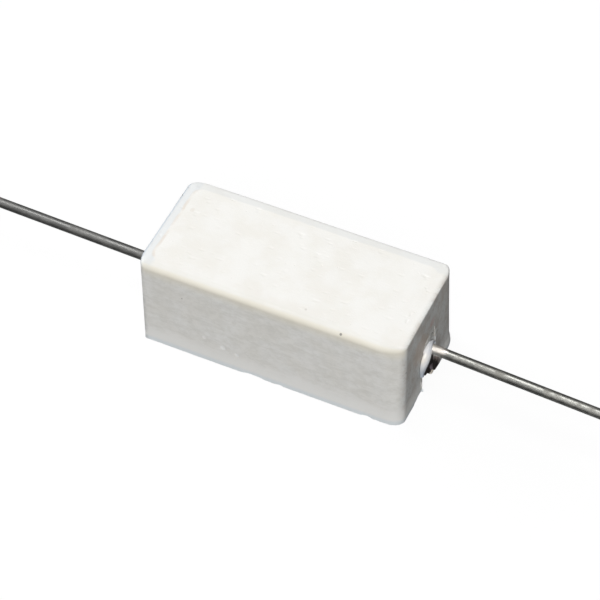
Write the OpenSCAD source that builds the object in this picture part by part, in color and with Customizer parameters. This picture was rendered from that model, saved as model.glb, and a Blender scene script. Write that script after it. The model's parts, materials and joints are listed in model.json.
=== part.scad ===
// Ceramic cased wire-wound power resistor with axial leads, lying on its open, cement filled side.
// X runs along the leads, Z is up, and the origin is at the middle of the case's underside.
// The case is a pressed ceramic trough with its closed face up. Inside it, in cement, lies the
// element: a ceramic rod wound with resistance wire between two steel caps that carry the leads.
// All lengths are in millimetres.

/* [Ceramic case] */
// Length over the two end walls
case_length = 22; // [20:0.5:26]
// Width over the long sides at the closed top
case_width = 9.5; // [9:0.1:11]
// Height from the open mouth to the closed top
case_height = 8.6; // [8:0.1:10]
// How far each long side leans out on its way down to the mouth
side_flare = 0.3; // [0:0.05:0.5]
// Radius of the four upright corners
corner_r = 1.3; // [1:0.1:1.6]
// Radius of the edge between the top and the sides
edge_r = 0.45; // [0.2:0.05:0.6]
// Width of the faint bevel that frames the top, measured in from the sides
bevel_width = 0.85; // [0.7:0.05:0.95]
// How far that bevel falls from the flat of the top
bevel_drop = 0.06; // [0.02:0.01:0.15]
// Radius of the outer edge of the mouth
rim_r = 0.1; // [0.05:0.05:0.4]
// Thickness of the long sides
side_wall = 1.3; // [1:0.05:1.6]
// Thickness of the end walls
end_wall = 1.3; // [1:0.05:1.7]
// Thickness of the closed top
roof = 1.2; // [0.9:0.05:1.4]
// Radius of the trough's upright corners
trough_corner_r = 0.9; // [0.7:0.05:1.2]
// Radius between the trough's walls and its roof
trough_edge_r = 0.6; // [0.3:0.05:0.7]

/* [Slots for the leads] */
// Width of the slot in each end wall
slot_width = 2.2; // [2:0.05:2.8]
// Size of the chamfer round the outer edge of each slot
slot_chamfer = 0.12; // [0.05:0.01:0.25]

/* [Cement] */
// How far the cement stays above the mouth of the trough
fill_recess = 0.25; // [0.15:0.05:0.5]
// How much deeper the middle of the cement has sunk
fill_sink = 0.3; // [0.1:0.05:0.5]
// Width of the rim of cement that climbs the walls
fill_rim = 0.35; // [0.2:0.05:0.6]
// How far the cement in a slot stays behind the face of the end wall
plug_set_back = 0.15; // [0.05:0.05:0.4]
// How far the middle of the bead at the right lead stands out from the face of the end wall
bead_stand = 0.1; // [0.05:0.05:0.2]
// Depth of the slanting hollow in the cement of the right slot, behind the face of the end wall
hollow_depth = 0.85; // [0.5:0.05:1]
// Slant of that hollow from upright, in degrees
hollow_slant = 41; // [30:1:50]
// Height of the hollow's upper edge in the middle of the slot
hollow_edge = 0.75; // [0.5:0.05:1]

/* [Element] */
// Height of the element's axis above the mouth
axis_height = 4.2; // [3.9:0.05:4.4]
// Diameter of the ceramic rod
rod_diameter = 4.2; // [3.6:0.1:4.6]
// Bevel round each end of the rod
rod_bevel = 0.15; // [0.05:0.05:0.4]
// Cement left between each cap and the end wall
end_space = 1.8; // [1.4:0.1:2.4]
// Thickness of the steel of the caps
cap_wall = 0.3; // [0.2:0.05:0.4]
// Length of a cap's skirt on the rod
cap_skirt = 2.8; // [2:0.1:3.4]
// Radius of the drawn edge of a cap
cap_edge_r = 0.5; // [0.35:0.05:0.7]
// Diameter of the resistance wire
wire_diameter = 0.25; // [0.15:0.01:0.3]
// Distance from one turn to the next
winding_pitch = 0.55; // [0.45:0.05:1]
// How far the winding runs on over each cap
winding_lap = 0.9; // [0.6:0.1:1.4]

/* [Leads] */
// Diameter of the tinned wire leads
lead_diameter = 0.8; // [0.6:0.05:1]
// Length of each lead outside the case
lead_free = 35; // [20:1:40]
// Length of the straight root of each lead at its cap
lead_root = 0.5; // [0.4:0.1:0.8]
// How far outside the end walls the leads are bent, past the bead of cement
bend_reach = 0.65; // [0.6:0.05:1.2]
// How much the wire of a lead swells where it is bent
bend_swell = 0.01; // [0.01:0.01:0.03]
// Diameter of the weld that joins each lead to its cap
weld_diameter = 1.5; // [1.2:0.1:1.8]
// How far to the side of the axis the left lead's line meets the face of its end wall
left_exit_side = -0.5; // [-0.6:0.05:0.6]
// How far above the axis the left lead's line meets the face of its end wall
left_exit_rise = -0.34; // [-0.5:0.02:0.3]
// Sideways slope of the left lead outside the case, in mm for each mm along it
left_slope_side = 0.0117; // [-0.05:0.0001:0.05]
// Upward slope of the left lead outside the case, in mm for each mm along it
left_slope_up = 0.0161; // [-0.05:0.0001:0.05]
// How far to the side of the axis the right lead's line meets the face of its end wall
right_exit_side = 0; // [-0.6:0.05:0.6]
// How far above the axis the right lead's line meets the face of its end wall
right_exit_rise = 0; // [-0.5:0.02:0.3]
// Sideways slope of the right lead outside the case, in mm for each mm along it
right_slope_side = -0.0282; // [-0.05:0.0001:0.05]
// Upward slope of the right lead outside the case, in mm for each mm along it
right_slope_up = -0.02; // [-0.05:0.0001:0.05]

/* [Fits] */
// Gap left between pieces that bond or seat on one another
seat_gap = 0.03; // [0.02:0.01:0.05]
// Gap between the resistance wire and what it is wound on
lay_gap = 0.05; // [0.04:0.01:0.08]

/* [Hidden] */

$fn = 64;
// Sides of the rounded posts that hull() joins, and steps of the small arcs on them
post_fn = 32;
arc_steps = 5;
// Sides of the resistance wire and steps in one of its turns
wire_sides = 6;
turn_steps = 24;
// How far a cutting shape runs past the face that it cuts
past = 1;
// Height of the straight stretch above a rounded foot
foot_lift = 0.01;

LEFT = -1;
RIGHT = 1;

half_length = case_length / 2;
trough_half_length = half_length - end_wall;
trough_top = case_height - roof;
slot_r = slot_width / 2;

lead_r = lead_diameter / 2;
wire_r = wire_diameter / 2;
rod_r = rod_diameter / 2;
cap_bore_r = rod_r + seat_gap;
cap_r = cap_bore_r + cap_wall;
cap_face_x = trough_half_length - end_space;
rod_length = 2 * (cap_face_x - cap_wall - seat_gap);
cap_mouth_x = cap_face_x - cap_wall - seat_gap - cap_skirt;

rod_lay_r = rod_r + lay_gap + wire_r;
cap_lay_r = cap_r + lay_gap + wire_r;
winding_length = 2 * (cap_mouth_x + winding_lap);
winding_turns = winding_length / winding_pitch;
// The wire climbs from the rod to the cap over this stretch, just before it meets the cap's mouth
climb_end = cap_mouth_x - wire_r - seat_gap;
climb_start = climb_end - winding_pitch;

// The bead of cement beside the right lead: places of round blobs as [sideways, up, radius]
// from the point where that lead's line meets the face of the end wall
bead_blobs = [
    [-0.14, 0.60, 0.16],
    [-0.50, -0.10, 0.40],
    [-0.93, -0.70, 0.32],
    [-1.22, -1.70, 0.12]
];
bead_fn = 24;

// Width over the long sides at a height
function width_at(z) = case_width + 2 * side_flare * (case_height - z) / case_height;

// Points of an arc about [x, y], from one angle to another
function arc(x, y, r, from, to) =
    [for (i = [0:arc_steps]) let (a = from + (to - from) * i / arc_steps) [x + r * cos(a), y + r * sin(a)]];

// Ease from 0 to 1 as t goes from 0 to 1, level at both ends
function ease(t) = let (c = max(0, min(1, t))) c * c * (3 - 2 * c);

// The line of a lead's free stretch: where it meets the face of the end wall, and its slope for
// each mm along X
function lead_exit(side) = side == LEFT
    ? [LEFT * half_length, left_exit_side, axis_height + left_exit_rise]
    : [RIGHT * half_length, right_exit_side, axis_height + right_exit_rise];
function lead_slope(side) = side == LEFT
    ? [LEFT, left_slope_side, left_slope_up]
    : [RIGHT, right_slope_side, right_slope_up];
// The way of a lead: from its cap, to the end of its straight root, through its slot to the bend
// outside, and to its free end
function lead_route(side) = [
    [side * cap_face_x, 0, axis_height],
    [side * (cap_face_x + lead_root), 0, axis_height],
    lead_exit(side) + bend_reach * lead_slope(side),
    lead_exit(side) + lead_free * lead_slope(side)
];

// Turns what was made along +Z to lie along a direction
module pointing(direction) {
    rotate([0, acos(direction.z / norm(direction)), atan2(direction.y, direction.x)]) children();
}

// A round bar of radius r from point p to point q, run on past both of them by over
module bar_between(p, q, r, over = 0) {
    translate(p)
        pointing(q - p)
            translate([0, 0, -over])
                cylinder(r = r, h = norm(q - p) + 2 * over);
}

// A bar of radius r through a list of points, a little swollen where it is bent at the inner ones
module bent_bar(points, r) {
    last = len(points) - 1;
    for (i = [1:last]) bar_between(points[i - 1], points[i], r);
    for (i = [1:last - 1])
        translate(points[i]) pointing(points[i + 1] - points[i - 1]) sphere(r + bend_swell);
}

// Turns what was made along +Z to lie along the element's axis, pointing out to one side
module along_axis(side) {
    translate([0, 0, axis_height]) rotate([0, side * 90, 0]) children();
}

// Block with rounded corners whose long sides follow the lean of the case. It is length long,
// inset from the case's own width by inset on each side, and runs from z = low to z = high.
// top_r rounds its upper edge, foot_r its lower one, and bevel is [width, drop] of a bevel on top.
module leaning_block(length, inset, low, high, post_r, top_r, foot_r = 0, bevel = [0, 0]) {
    shoulder = high - bevel[1];
    head = concat(
        [[0, shoulder - top_r]],
        arc(post_r - top_r, shoulder - top_r, top_r, 0, 90),
        bevel[0] > top_r ? [[post_r - bevel[0], high]] : [],
        [[0, high]]
    );
    foot = concat(
        [[0, low]],
        foot_r > 0 ? arc(post_r - foot_r, low + foot_r, foot_r, -90, 0) : [[post_r, low]],
        [[post_r, low + foot_r + foot_lift], [0, low + foot_r + foot_lift]]
    );
    hull()
        for (x = [-1, 1], y = [-1, 1]) {
            translate([x * (length / 2 - post_r), y * (width_at(high) / 2 - inset - post_r), 0])
                rotate_extrude($fn = post_fn) polygon(head);
            translate([x * (length / 2 - post_r), y * (width_at(low) / 2 - inset - post_r), 0])
                rotate_extrude($fn = post_fn) polygon(foot);
        }
}

// The inside of the trough, or with a gap the cement that fills it, from z = low up
module trough_space(gap, low) {
    leaning_block(2 * (trough_half_length - gap), side_wall + gap, low, trough_top - gap,
        trough_corner_r - gap, trough_edge_r);
}

// The U-shaped space of a slot, with its round end up, made narrower by gap all round. It runs
// from x = from to x = to on one side of the case, and down to z = low.
module slot_space(side, gap, from, to, low) {
    r = slot_r - gap;
    translate([side * from, 0, axis_height])
        rotate([0, side * 90, 0])
            cylinder(r = r, h = to - from);
    translate([side > 0 ? from : -to, -r, low])
        cube([to - from, 2 * r, axis_height - low]);
}

// The chamfer round the outer edge of a slot
module slot_chamfer_cut(side) {
    wide = slot_r + slot_chamfer;
    translate([side * (half_length - slot_chamfer), 0, axis_height])
        rotate([0, side * 90, 0])
            cylinder(r1 = slot_r, r2 = wide, h = slot_chamfer);
    translate([0, 0, -past])
        linear_extrude(axis_height + past)
            polygon([for (p = [[-slot_chamfer, slot_r], [0, wide], [0, -wide], [-slot_chamfer, -slot_r]])
                [side * (half_length + p[0]), p[1]]]);
}

module ceramic_case() {
    color([0.94, 0.93, 0.90])
        difference() {
            leaning_block(case_length, 0, 0, case_height, corner_r, edge_r, rim_r,
                [bevel_width, bevel_drop]);
            trough_space(0, -past);
            for (side = [LEFT, RIGHT]) {
                slot_space(side, 0, trough_half_length - past, half_length + past, -past);
                slot_chamfer_cut(side);
            }
        }
}

// The element with a gap all round it: the rod and its turns, then the caps with the turns on
// them, then the bare caps out to their faces
module element_space(gap) {
    lap_x = winding_length / 2 + wire_r + gap;
    profile = [
        [0, 0],
        [rod_lay_r + wire_r + gap, 0],
        [rod_lay_r + wire_r + gap, climb_start - wire_r - gap],
        [cap_lay_r + wire_r + gap, climb_end - wire_r - gap],
        [cap_lay_r + wire_r + gap, lap_x],
        [cap_r + gap, lap_x],
        [cap_r + gap, cap_face_x + gap],
        [0, cap_face_x + gap]
    ];
    for (side = [LEFT, RIGHT]) along_axis(side) rotate_extrude() polygon(profile);
}

// The space that a lead takes in the cement, with a gap round it
module lead_space(side, gap) {
    route = lead_route(side);
    along_axis(side)
        translate([0, 0, cap_face_x])
            cylinder(d = weld_diameter + 2 * gap, h = lead_root);
    bar_between(route[1], route[2], lead_r + gap, slot_chamfer);
}

// The cement in one slot, from inside the trough to just behind the face of the end wall
module slot_plug(side) {
    slot_space(side, seat_gap, trough_half_length - past, half_length - plug_set_back, fill_recess);
}

// The bead of cement that stands out beside the right lead. It fills the slot behind it and
// lies on the face of the end wall.
module bead() {
    intersection() {
        hull()
            for (b = bead_blobs)
                translate(lead_exit(RIGHT) + [bead_stand, b[0], b[1]]) sphere(b[2], $fn = bead_fn);
        union() {
            slot_space(RIGHT, seat_gap, half_length - past, half_length + past, fill_recess);
            translate([half_length + seat_gap, -case_width / 2, 0])
                cube([past, case_width, case_height]);
        }
    }
}

// The hollow where the cement has drawn back from the near lower corner of the right slot: a
// slanting groove with its middle line in the face of the end wall
module hollow() {
    translate([half_length, 0, hollow_edge])
        rotate([hollow_slant, 0, 0])
            translate([0, -hollow_depth, 0])
                cylinder(r = hollow_depth, h = 2 * case_height, center = true);
}

module cement_filling() {
    color([0.86, 0.86, 0.84])
        difference() {
            union() {
                difference() {
                    union() {
                        trough_space(seat_gap, fill_recess);
                        slot_plug(LEFT);
                        slot_plug(RIGHT);
                    }
                    hollow();
                }
                bead();
            }
            leaning_block(2 * (trough_half_length - fill_rim), side_wall + fill_rim, -past,
                fill_recess + fill_sink, trough_corner_r, fill_sink);
            element_space(seat_gap);
            lead_space(LEFT, seat_gap);
            lead_space(RIGHT, seat_gap);
        }
}

module core_rod() {
    color([0.90, 0.88, 0.82])
        for (side = [LEFT, RIGHT])
            along_axis(side)
                rotate_extrude()
                    polygon([[0, 0], [rod_r, 0], [rod_r, rod_length / 2 - rod_bevel],
                        [rod_r - rod_bevel, rod_length / 2], [0, rod_length / 2]]);
}

// Centre of the resistance wire after a number of turns
function wire_x(turn) = winding_pitch * (turn - winding_turns / 2);
function wire_lay(x) =
    rod_lay_r + (cap_lay_r - rod_lay_r) * ease((abs(x) - climb_start) / (climb_end - climb_start));

// One ring of points round the wire
function wire_ring(turn) =
    let (x = wire_x(turn), lay = wire_lay(x), a = 360 * turn)
        [for (j = [0:wire_sides - 1])
            let (b = 360 * j / wire_sides, out = lay + wire_r * cos(b))
                [x + wire_r * sin(b), out * cos(a), out * sin(a)]];

module resistance_winding() {
    steps = ceil(winding_turns * turn_steps);
    rings = [for (i = [0:steps]) wire_ring(winding_turns * i / steps)];
    points = [for (ring = rings, p = ring) p];
    n = wire_sides;
    sides = [for (i = [0:steps - 1], j = [0:n - 1])
        let (a = i * n + j, b = i * n + (j + 1) % n)
            each [[a, b, b + n], [a, b + n, a + n]]];
    ends = [[for (j = [n - 1:-1:0]) j], [for (j = [0:n - 1]) steps * n + j]];
    color([0.55, 0.50, 0.45])
        translate([0, 0, axis_height])
            polyhedron(points, concat(sides, ends));
}

// A cap: a drawn steel cup whose skirt grips the end of the rod
module end_cap(side) {
    skirt_start = cap_mouth_x;
    inner_end = cap_face_x - cap_wall;
    profile = concat(
        [[cap_bore_r, skirt_start], [cap_r, skirt_start]],
        arc(cap_r - cap_edge_r, cap_face_x - cap_edge_r, cap_edge_r, 0, 90),
        [[0, cap_face_x], [0, inner_end], [cap_bore_r, inner_end]]
    );
    along_axis(side) rotate_extrude() polygon(profile);
}

module end_cap_left() { color([0.45, 0.44, 0.42]) end_cap(LEFT); }
module end_cap_right() { color([0.45, 0.44, 0.42]) end_cap(RIGHT); }

// A lead: welded to its cap, straight for a short root, then bent towards its slot, and again
// just outside it
module lead(side) {
    along_axis(side)
        translate([0, 0, cap_face_x])
            cylinder(d1 = weld_diameter, d2 = lead_diameter, h = (weld_diameter - lead_diameter) / 2);
    bent_bar(lead_route(side), lead_r);
}

module lead_left() { color([0.70, 0.71, 0.70]) lead(LEFT); }
module lead_right() { color([0.70, 0.71, 0.70]) lead(RIGHT); }

ceramic_case();
cement_filling();
core_rod();
resistance_winding();
end_cap_left();
end_cap_right();
lead_left();
lead_right();
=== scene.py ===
"""Ceramic cased wire-wound power resistor with axial leads, dressed for the render.

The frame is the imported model's: X along the leads, Z up, the origin at the middle of the case's
underside, in metres. Sizes below are written in millimetres, as on a drawing, and become metres when a
mesh is made.
"""

import json
import logging
from dataclasses import dataclass, field, replace
from enum import Enum
from functools import cached_property
from itertools import product
from math import cos, pi, radians, sin

import bpy
import numpy as np
from bpy.types import Material, Node, NodeSocket, NodeTree, Object
from mathutils import Matrix, Vector

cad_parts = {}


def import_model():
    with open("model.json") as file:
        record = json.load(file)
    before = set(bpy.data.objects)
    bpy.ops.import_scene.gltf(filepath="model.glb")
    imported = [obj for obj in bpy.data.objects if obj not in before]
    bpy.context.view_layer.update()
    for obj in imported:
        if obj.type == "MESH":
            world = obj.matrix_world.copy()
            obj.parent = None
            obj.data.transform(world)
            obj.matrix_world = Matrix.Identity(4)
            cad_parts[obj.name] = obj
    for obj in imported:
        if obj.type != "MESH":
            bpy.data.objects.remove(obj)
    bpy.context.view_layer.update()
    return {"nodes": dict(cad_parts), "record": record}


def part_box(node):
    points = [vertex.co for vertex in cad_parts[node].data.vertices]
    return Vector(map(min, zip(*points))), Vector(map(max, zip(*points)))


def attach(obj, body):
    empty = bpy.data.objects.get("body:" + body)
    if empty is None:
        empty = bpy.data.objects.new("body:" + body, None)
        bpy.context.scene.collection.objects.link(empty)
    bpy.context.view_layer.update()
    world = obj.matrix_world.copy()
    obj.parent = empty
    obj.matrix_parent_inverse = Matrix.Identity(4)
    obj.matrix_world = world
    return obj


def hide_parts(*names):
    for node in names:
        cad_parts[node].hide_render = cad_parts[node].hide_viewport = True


log = logging.getLogger("resistor")

MM = 0.001
STRAIGHTENED = "straightened"
Array = np.ndarray
Colour = tuple[float, float, float, float]
Spot = tuple[float, float, float]


class Side(Enum):
    """An end of the resistor, with the sign of X there."""

    LEFT = -1
    RIGHT = 1


class Slot(Enum):
    """The record's material slots of the new pieces."""

    CASE = "case_ceramic"
    CEMENT = "potting_cement"
    LEAD = "lead_wire"


# Shapes worked out as whole arrays


def ease(t: Array) -> Array:
    """Rises from 0 to 1 as t does, level at both ends: three t squared less two t cubed."""
    c = np.clip(t, 0.0, 1.0)
    return c * c * (3.0 - 2.0 * c)


def lattice_noise(points: Array, cell: float | Spot, seed: int) -> Array:
    """A smooth random field: seeded values on a lattice of cells, eased from corner to corner.

    Args:
        points: Places in millimetres, with X, Y and Z on the last axis.
        cell: Size of a lattice cell in millimetres, one number or one for each axis.
        seed: Seed of the lattice's values.

    Returns:
        One value from 0 to 1 for each point.
    """
    period = 32
    table = np.random.default_rng(seed).random((period, period, period))
    place = points / np.asarray(cell, float)
    base = np.floor(place).astype(int)
    part = ease(place - base)
    total = np.zeros(points.shape[:-1])
    for corner in product((0, 1), repeat=3):
        at = (base + corner) % period
        share = np.where(corner, part, 1.0 - part).prod(axis=-1)
        total += share * table[at[..., 0], at[..., 1], at[..., 2]]
    return total


def layered_noise(points: Array, cell: float | Spot, seed: int, layers: int) -> Array:
    """Lattice noise in layers, each with half the cell and half the weight of the last.

    Args:
        points: Places in millimetres, with X, Y and Z on the last axis.
        cell: Size of the first layer's cells in millimetres, one number or one for each axis.
        seed: Seed of the first layer, and each other layer has the next.
        layers: Number of layers.

    Returns:
        One value from 0 to 1 for each point.
    """
    weights = 0.5 ** np.arange(layers)
    parts = (lattice_noise(points, np.multiply(cell, w), seed + i) * w for i, w in enumerate(weights))
    return sum(parts) / weights.sum()


@dataclass(frozen=True)
class Waver:
    """Random unevenness of a surface: a depth times how far layered noise lies above a level."""

    depth: float  # in millimetres
    cell: float | Spot  # size of the noise's coarsest cells in millimetres
    seed: int
    layers: int = 1
    level: float = 0.0  # value of the noise, from 0 to 1, that leaves the surface as it is

    def at(self, points: Array) -> Array:
        """The unevenness at each point."""
        return self.depth * (layered_noise(points, self.cell, self.seed, self.layers) - self.level)


@dataclass(frozen=True)
class Scatter(Waver):
    """Scattered spots of wear: a depth that sets in softly where the noise lies above the level."""

    rise: float = 0.1  # how far above the level the depth is full

    def at(self, points: Array) -> Array:
        """The depth at each point."""
        noise = layered_noise(points, self.cell, self.seed, self.layers)
        return self.depth * ease((noise - self.level) / self.rise)


def craters(places: Array, centres: Array, radii: Array) -> Array:
    """Round bowls in a surface: one less the squared distance from a bowl's centre over its radius.

    Args:
        places: Points on the surface, two numbers each on the last axis.
        centres: The bowls' centres, two numbers each.
        radii: The bowls' radii.

    Returns:
        The depth at each point as a share of the bowl's radius, and 0 outside all bowls.
    """
    gap = places[..., None, :] - centres
    hollow = 1.0 - (gap**2).sum(axis=-1) / radii**2
    return (np.clip(hollow, 0.0, 1.0) * radii).max(axis=-1)


def linked(name: str, data: bpy.types.ID) -> Object:
    """Makes an object of a mesh, a light or a camera, and links it to the scene.

    Args:
        name: The object's name.
        data: What it shows.

    Returns:
        The object, at the origin.
    """
    made = bpy.data.objects.new(name, data)
    bpy.context.scene.collection.objects.link(made)
    return made


@dataclass
class Surface:
    """Points and faces of a closed surface, in millimetres."""

    points: Array  # one row of X, Y and Z for each point
    faces: list[Array]  # arrays of point numbers, each of quads or of triangles, turned outwards

    def normals(self) -> Array:
        """Works out the outward normals: at each point the sum of its faces' crossed diagonals.

        Returns:
            One unit vector for each point.
        """
        total = np.zeros_like(self.points)
        for face in self.faces:
            sides, corners = face.shape[1], self.points[face]
            crossed = np.cross(corners[:, 2] - corners[:, 0], corners[:, 3 % sides] - corners[:, 1])
            for number, axis in product(range(sides), range(3)):
                total[:, axis] += np.bincount(face[:, number], crossed[:, axis], len(total))
        return total / np.maximum(np.linalg.norm(total, axis=1, keepdims=True), 1e-12)

    def sink(self, depth: Array) -> None:
        """Moves each point inwards along its normal by a depth in millimetres."""
        self.points = self.points - self.normals() * depth[:, None]

    def to_object(self, name: str, sharp_angle: float = radians(50)) -> Object:
        """Makes a smooth shaded object of the surface.

        Args:
            name: The object's and the mesh's name.
            sharp_angle: Edges that turn by more than this many radians stay sharp.

        Returns:
            The new object, linked to the scene and at the origin.
        """
        mesh = bpy.data.meshes.new(name)
        rows = [row for face in self.faces for row in face.tolist()]
        mesh.from_pydata((self.points * MM).tolist(), [], rows)
        mesh.shade_smooth()
        mesh.set_sharp_from_angle(angle=sharp_angle)
        return linked(name, mesh)


def loop_quads(rows: int, columns: int, flip: bool = False) -> Array:
    """Quads of a grid whose columns close into a loop.

    Args:
        rows: Number of rows of points.
        columns: Number of points in a row.
        flip: Turns the faces the other way round.

    Returns:
        Point numbers, four for each quad.
    """
    row, column = np.meshgrid(np.arange(rows - 1), np.arange(columns), indexing="ij")
    here, beside = row * columns + column, row * columns + (column + 1) % columns
    quads = np.stack([here, beside, beside + columns, here + columns], axis=-1).reshape(-1, 4)
    return quads[:, ::-1] if flip else quads


def fan(ring: Array, centre: int, flip: bool = False) -> Array:
    """Triangles from a ring of point numbers to one centre point."""
    triangles = np.stack([ring, np.roll(ring, -1), np.full(len(ring), centre)], axis=-1)
    return triangles[:, ::-1] if flip else triangles


def carried(stations: Array, start: Array, end: Array, flip: bool = False) -> Surface:
    """Closed surface of a profile carried along a path, with a point at each end.

    Args:
        stations: The profile's points at each station, as stations by points by three.
        start: The point that closes the first station.
        end: The point that closes the last station.
        flip: Turns the faces the other way round.

    Returns:
        The closed surface.
    """
    rows, columns = stations.shape[:2]
    ring = np.arange(columns)
    return Surface(np.concatenate([stations.reshape(-1, 3), [start, end]]), [
        loop_quads(rows, columns, flip),
        fan(ring, rows * columns, not flip),
        fan(ring + (rows - 1) * columns, rows * columns + 1, flip),
    ])


def between(first: Array, last: Array, steps: int) -> Array:
    """Rows of points on the straight lines from one row to another, without those two rows."""
    share = np.linspace(0.0, 1.0, steps + 1)[1:-1, None, None]
    return first + (last - first) * share


def rounded(edge: Array, first: Array, last: Array, radius: float, rows: int) -> Array:
    """Rows of points over a rounded edge: a quarter circle from one facing direction to the other."""
    turn = np.linspace(0, pi / 2, rows)[:, None, None]
    return edge - radius * (first + last) + radius * (first * np.cos(turn) + last * np.sin(turn))


# Node trees


def tone(red: int, green: int, blue: int) -> Colour:
    """A colour as seen on a screen, as the linear colour that a shader takes.

    Args:
        red: Its red, 0 to 255.
        green: Its green.
        blue: Its blue.

    Returns:
        The linear colour, opaque.
    """
    seen = np.array([red, green, blue]) / 255
    linear = np.where(seen <= 0.04045, seen / 12.92, ((seen + 0.055) / 1.055) ** 2.4)
    return (*linear.tolist(), 1.0)


class Output:
    """A node's output, with plain arithmetic where it is a number."""

    def __init__(self, graph: "Graph", socket: NodeSocket) -> None:
        """Keeps the output's socket and the graph that it is in."""
        self.graph, self.socket = graph, socket

    def __add__(self, other: object) -> "Output":
        """This number and another."""
        return self.graph.maths("ADD", self, other)

    def __sub__(self, other: object) -> "Output":
        """This number less another."""
        return self.graph.maths("SUBTRACT", self, other)

    def __rsub__(self, other: object) -> "Output":
        """Another number less this one."""
        return self.graph.maths("SUBTRACT", other, self)

    def __mul__(self, other: object) -> "Output":
        """This number times another."""
        return self.graph.maths("MULTIPLY", self, other)

    def __abs__(self) -> "Output":
        """This number without its sign."""
        return self.graph.maths("ABSOLUTE", self)

    def step(self, low: object, high: object, to_low: object = 0.0, to_high: object = 1.0) -> "Output":
        """Eases from to_low to to_high as the number goes from low to high."""
        named = {"Value": self, "From Min": low, "From Max": high, "To Min": to_low, "To Max": to_high}
        return self.graph.add("MapRange", named, interpolation_type="SMOOTHSTEP")


class Graph:
    """Short calls that add nodes to one node tree and join them."""

    def __init__(self, tree: NodeTree) -> None:
        """Keeps the tree that nodes are added to."""
        self.tree = tree

    def feed(self, socket: NodeSocket, value: object) -> None:
        """Joins an output to an input, or sets the input's own value.

        Args:
            socket: The input.
            value: The output or the value.
        """
        if isinstance(value, Output):
            self.tree.links.new(value.socket, socket)
        else:
            socket.default_value = value

    def node(self, kind: str, inputs: dict | tuple = (), **settings: object) -> Node:
        """Adds a node.

        Args:
            kind: Its kind, named without the ShaderNode prefix.
            inputs: Outputs or values for its inputs, by name or number, or else in order.
            settings: Values of its properties.

        Returns:
            The node.
        """
        made = self.tree.nodes.new(kind if kind.startswith("Node") else "ShaderNode" + kind)
        for name, value in settings.items():
            setattr(made, name, value)
        for key, value in inputs.items() if isinstance(inputs, dict) else enumerate(inputs):
            self.feed(made.inputs[key], value)
        return made

    def add(self, kind: str, inputs: dict | tuple = (), output: int | str = 0, **settings: object) -> Output:
        """Adds a node and gives one of its outputs, by number or name."""
        return Output(self, self.node(kind, inputs, **settings).outputs[output])

    def outputs(self, kind: str, inputs: dict | tuple = (), **settings: object) -> dict[str, Output]:
        """Adds a node and gives all its outputs by name."""
        return {made.name: Output(self, made) for made in self.node(kind, inputs, **settings).outputs}

    def maths(self, operation: str, *values: object) -> Output:
        """A Math node's result for one or two numbers."""
        return self.add("Math", values, operation=operation)

    def vector(self, operation: str, *values: object, output: str = "Vector") -> Output:
        """A Vector Math node's result for one or two vectors: a vector, or its output "Value"."""
        return self.add("VectorMath", values, output, operation=operation)

    def parts(self, vector: Output) -> list[Output]:
        """The X, Y and Z of a vector."""
        return list(self.outputs("SeparateXYZ", (vector,)).values())

    def scaled(self, vector: Output, scale: Spot) -> Output:
        """A vector times a scale on each axis."""
        return self.add("Mapping", {"Vector": vector, "Scale": scale})

    def noise(self, vector: Output, scale: object, detail: float = 2.0, roughness: float = 0.5) -> Output:
        """A noise texture's value, with its scale in features for each unit of the vector."""
        named = {"Vector": vector, "Scale": scale, "Detail": detail, "Roughness": roughness}
        return self.add("TexNoise", named, "Fac")

    def mix(self, factor: object, first: object, second: object) -> Output:
        """Mixes two colours by a factor."""
        return self.add("Mix", {0: factor, 6: first, 7: second}, 2, data_type="RGBA")


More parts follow.
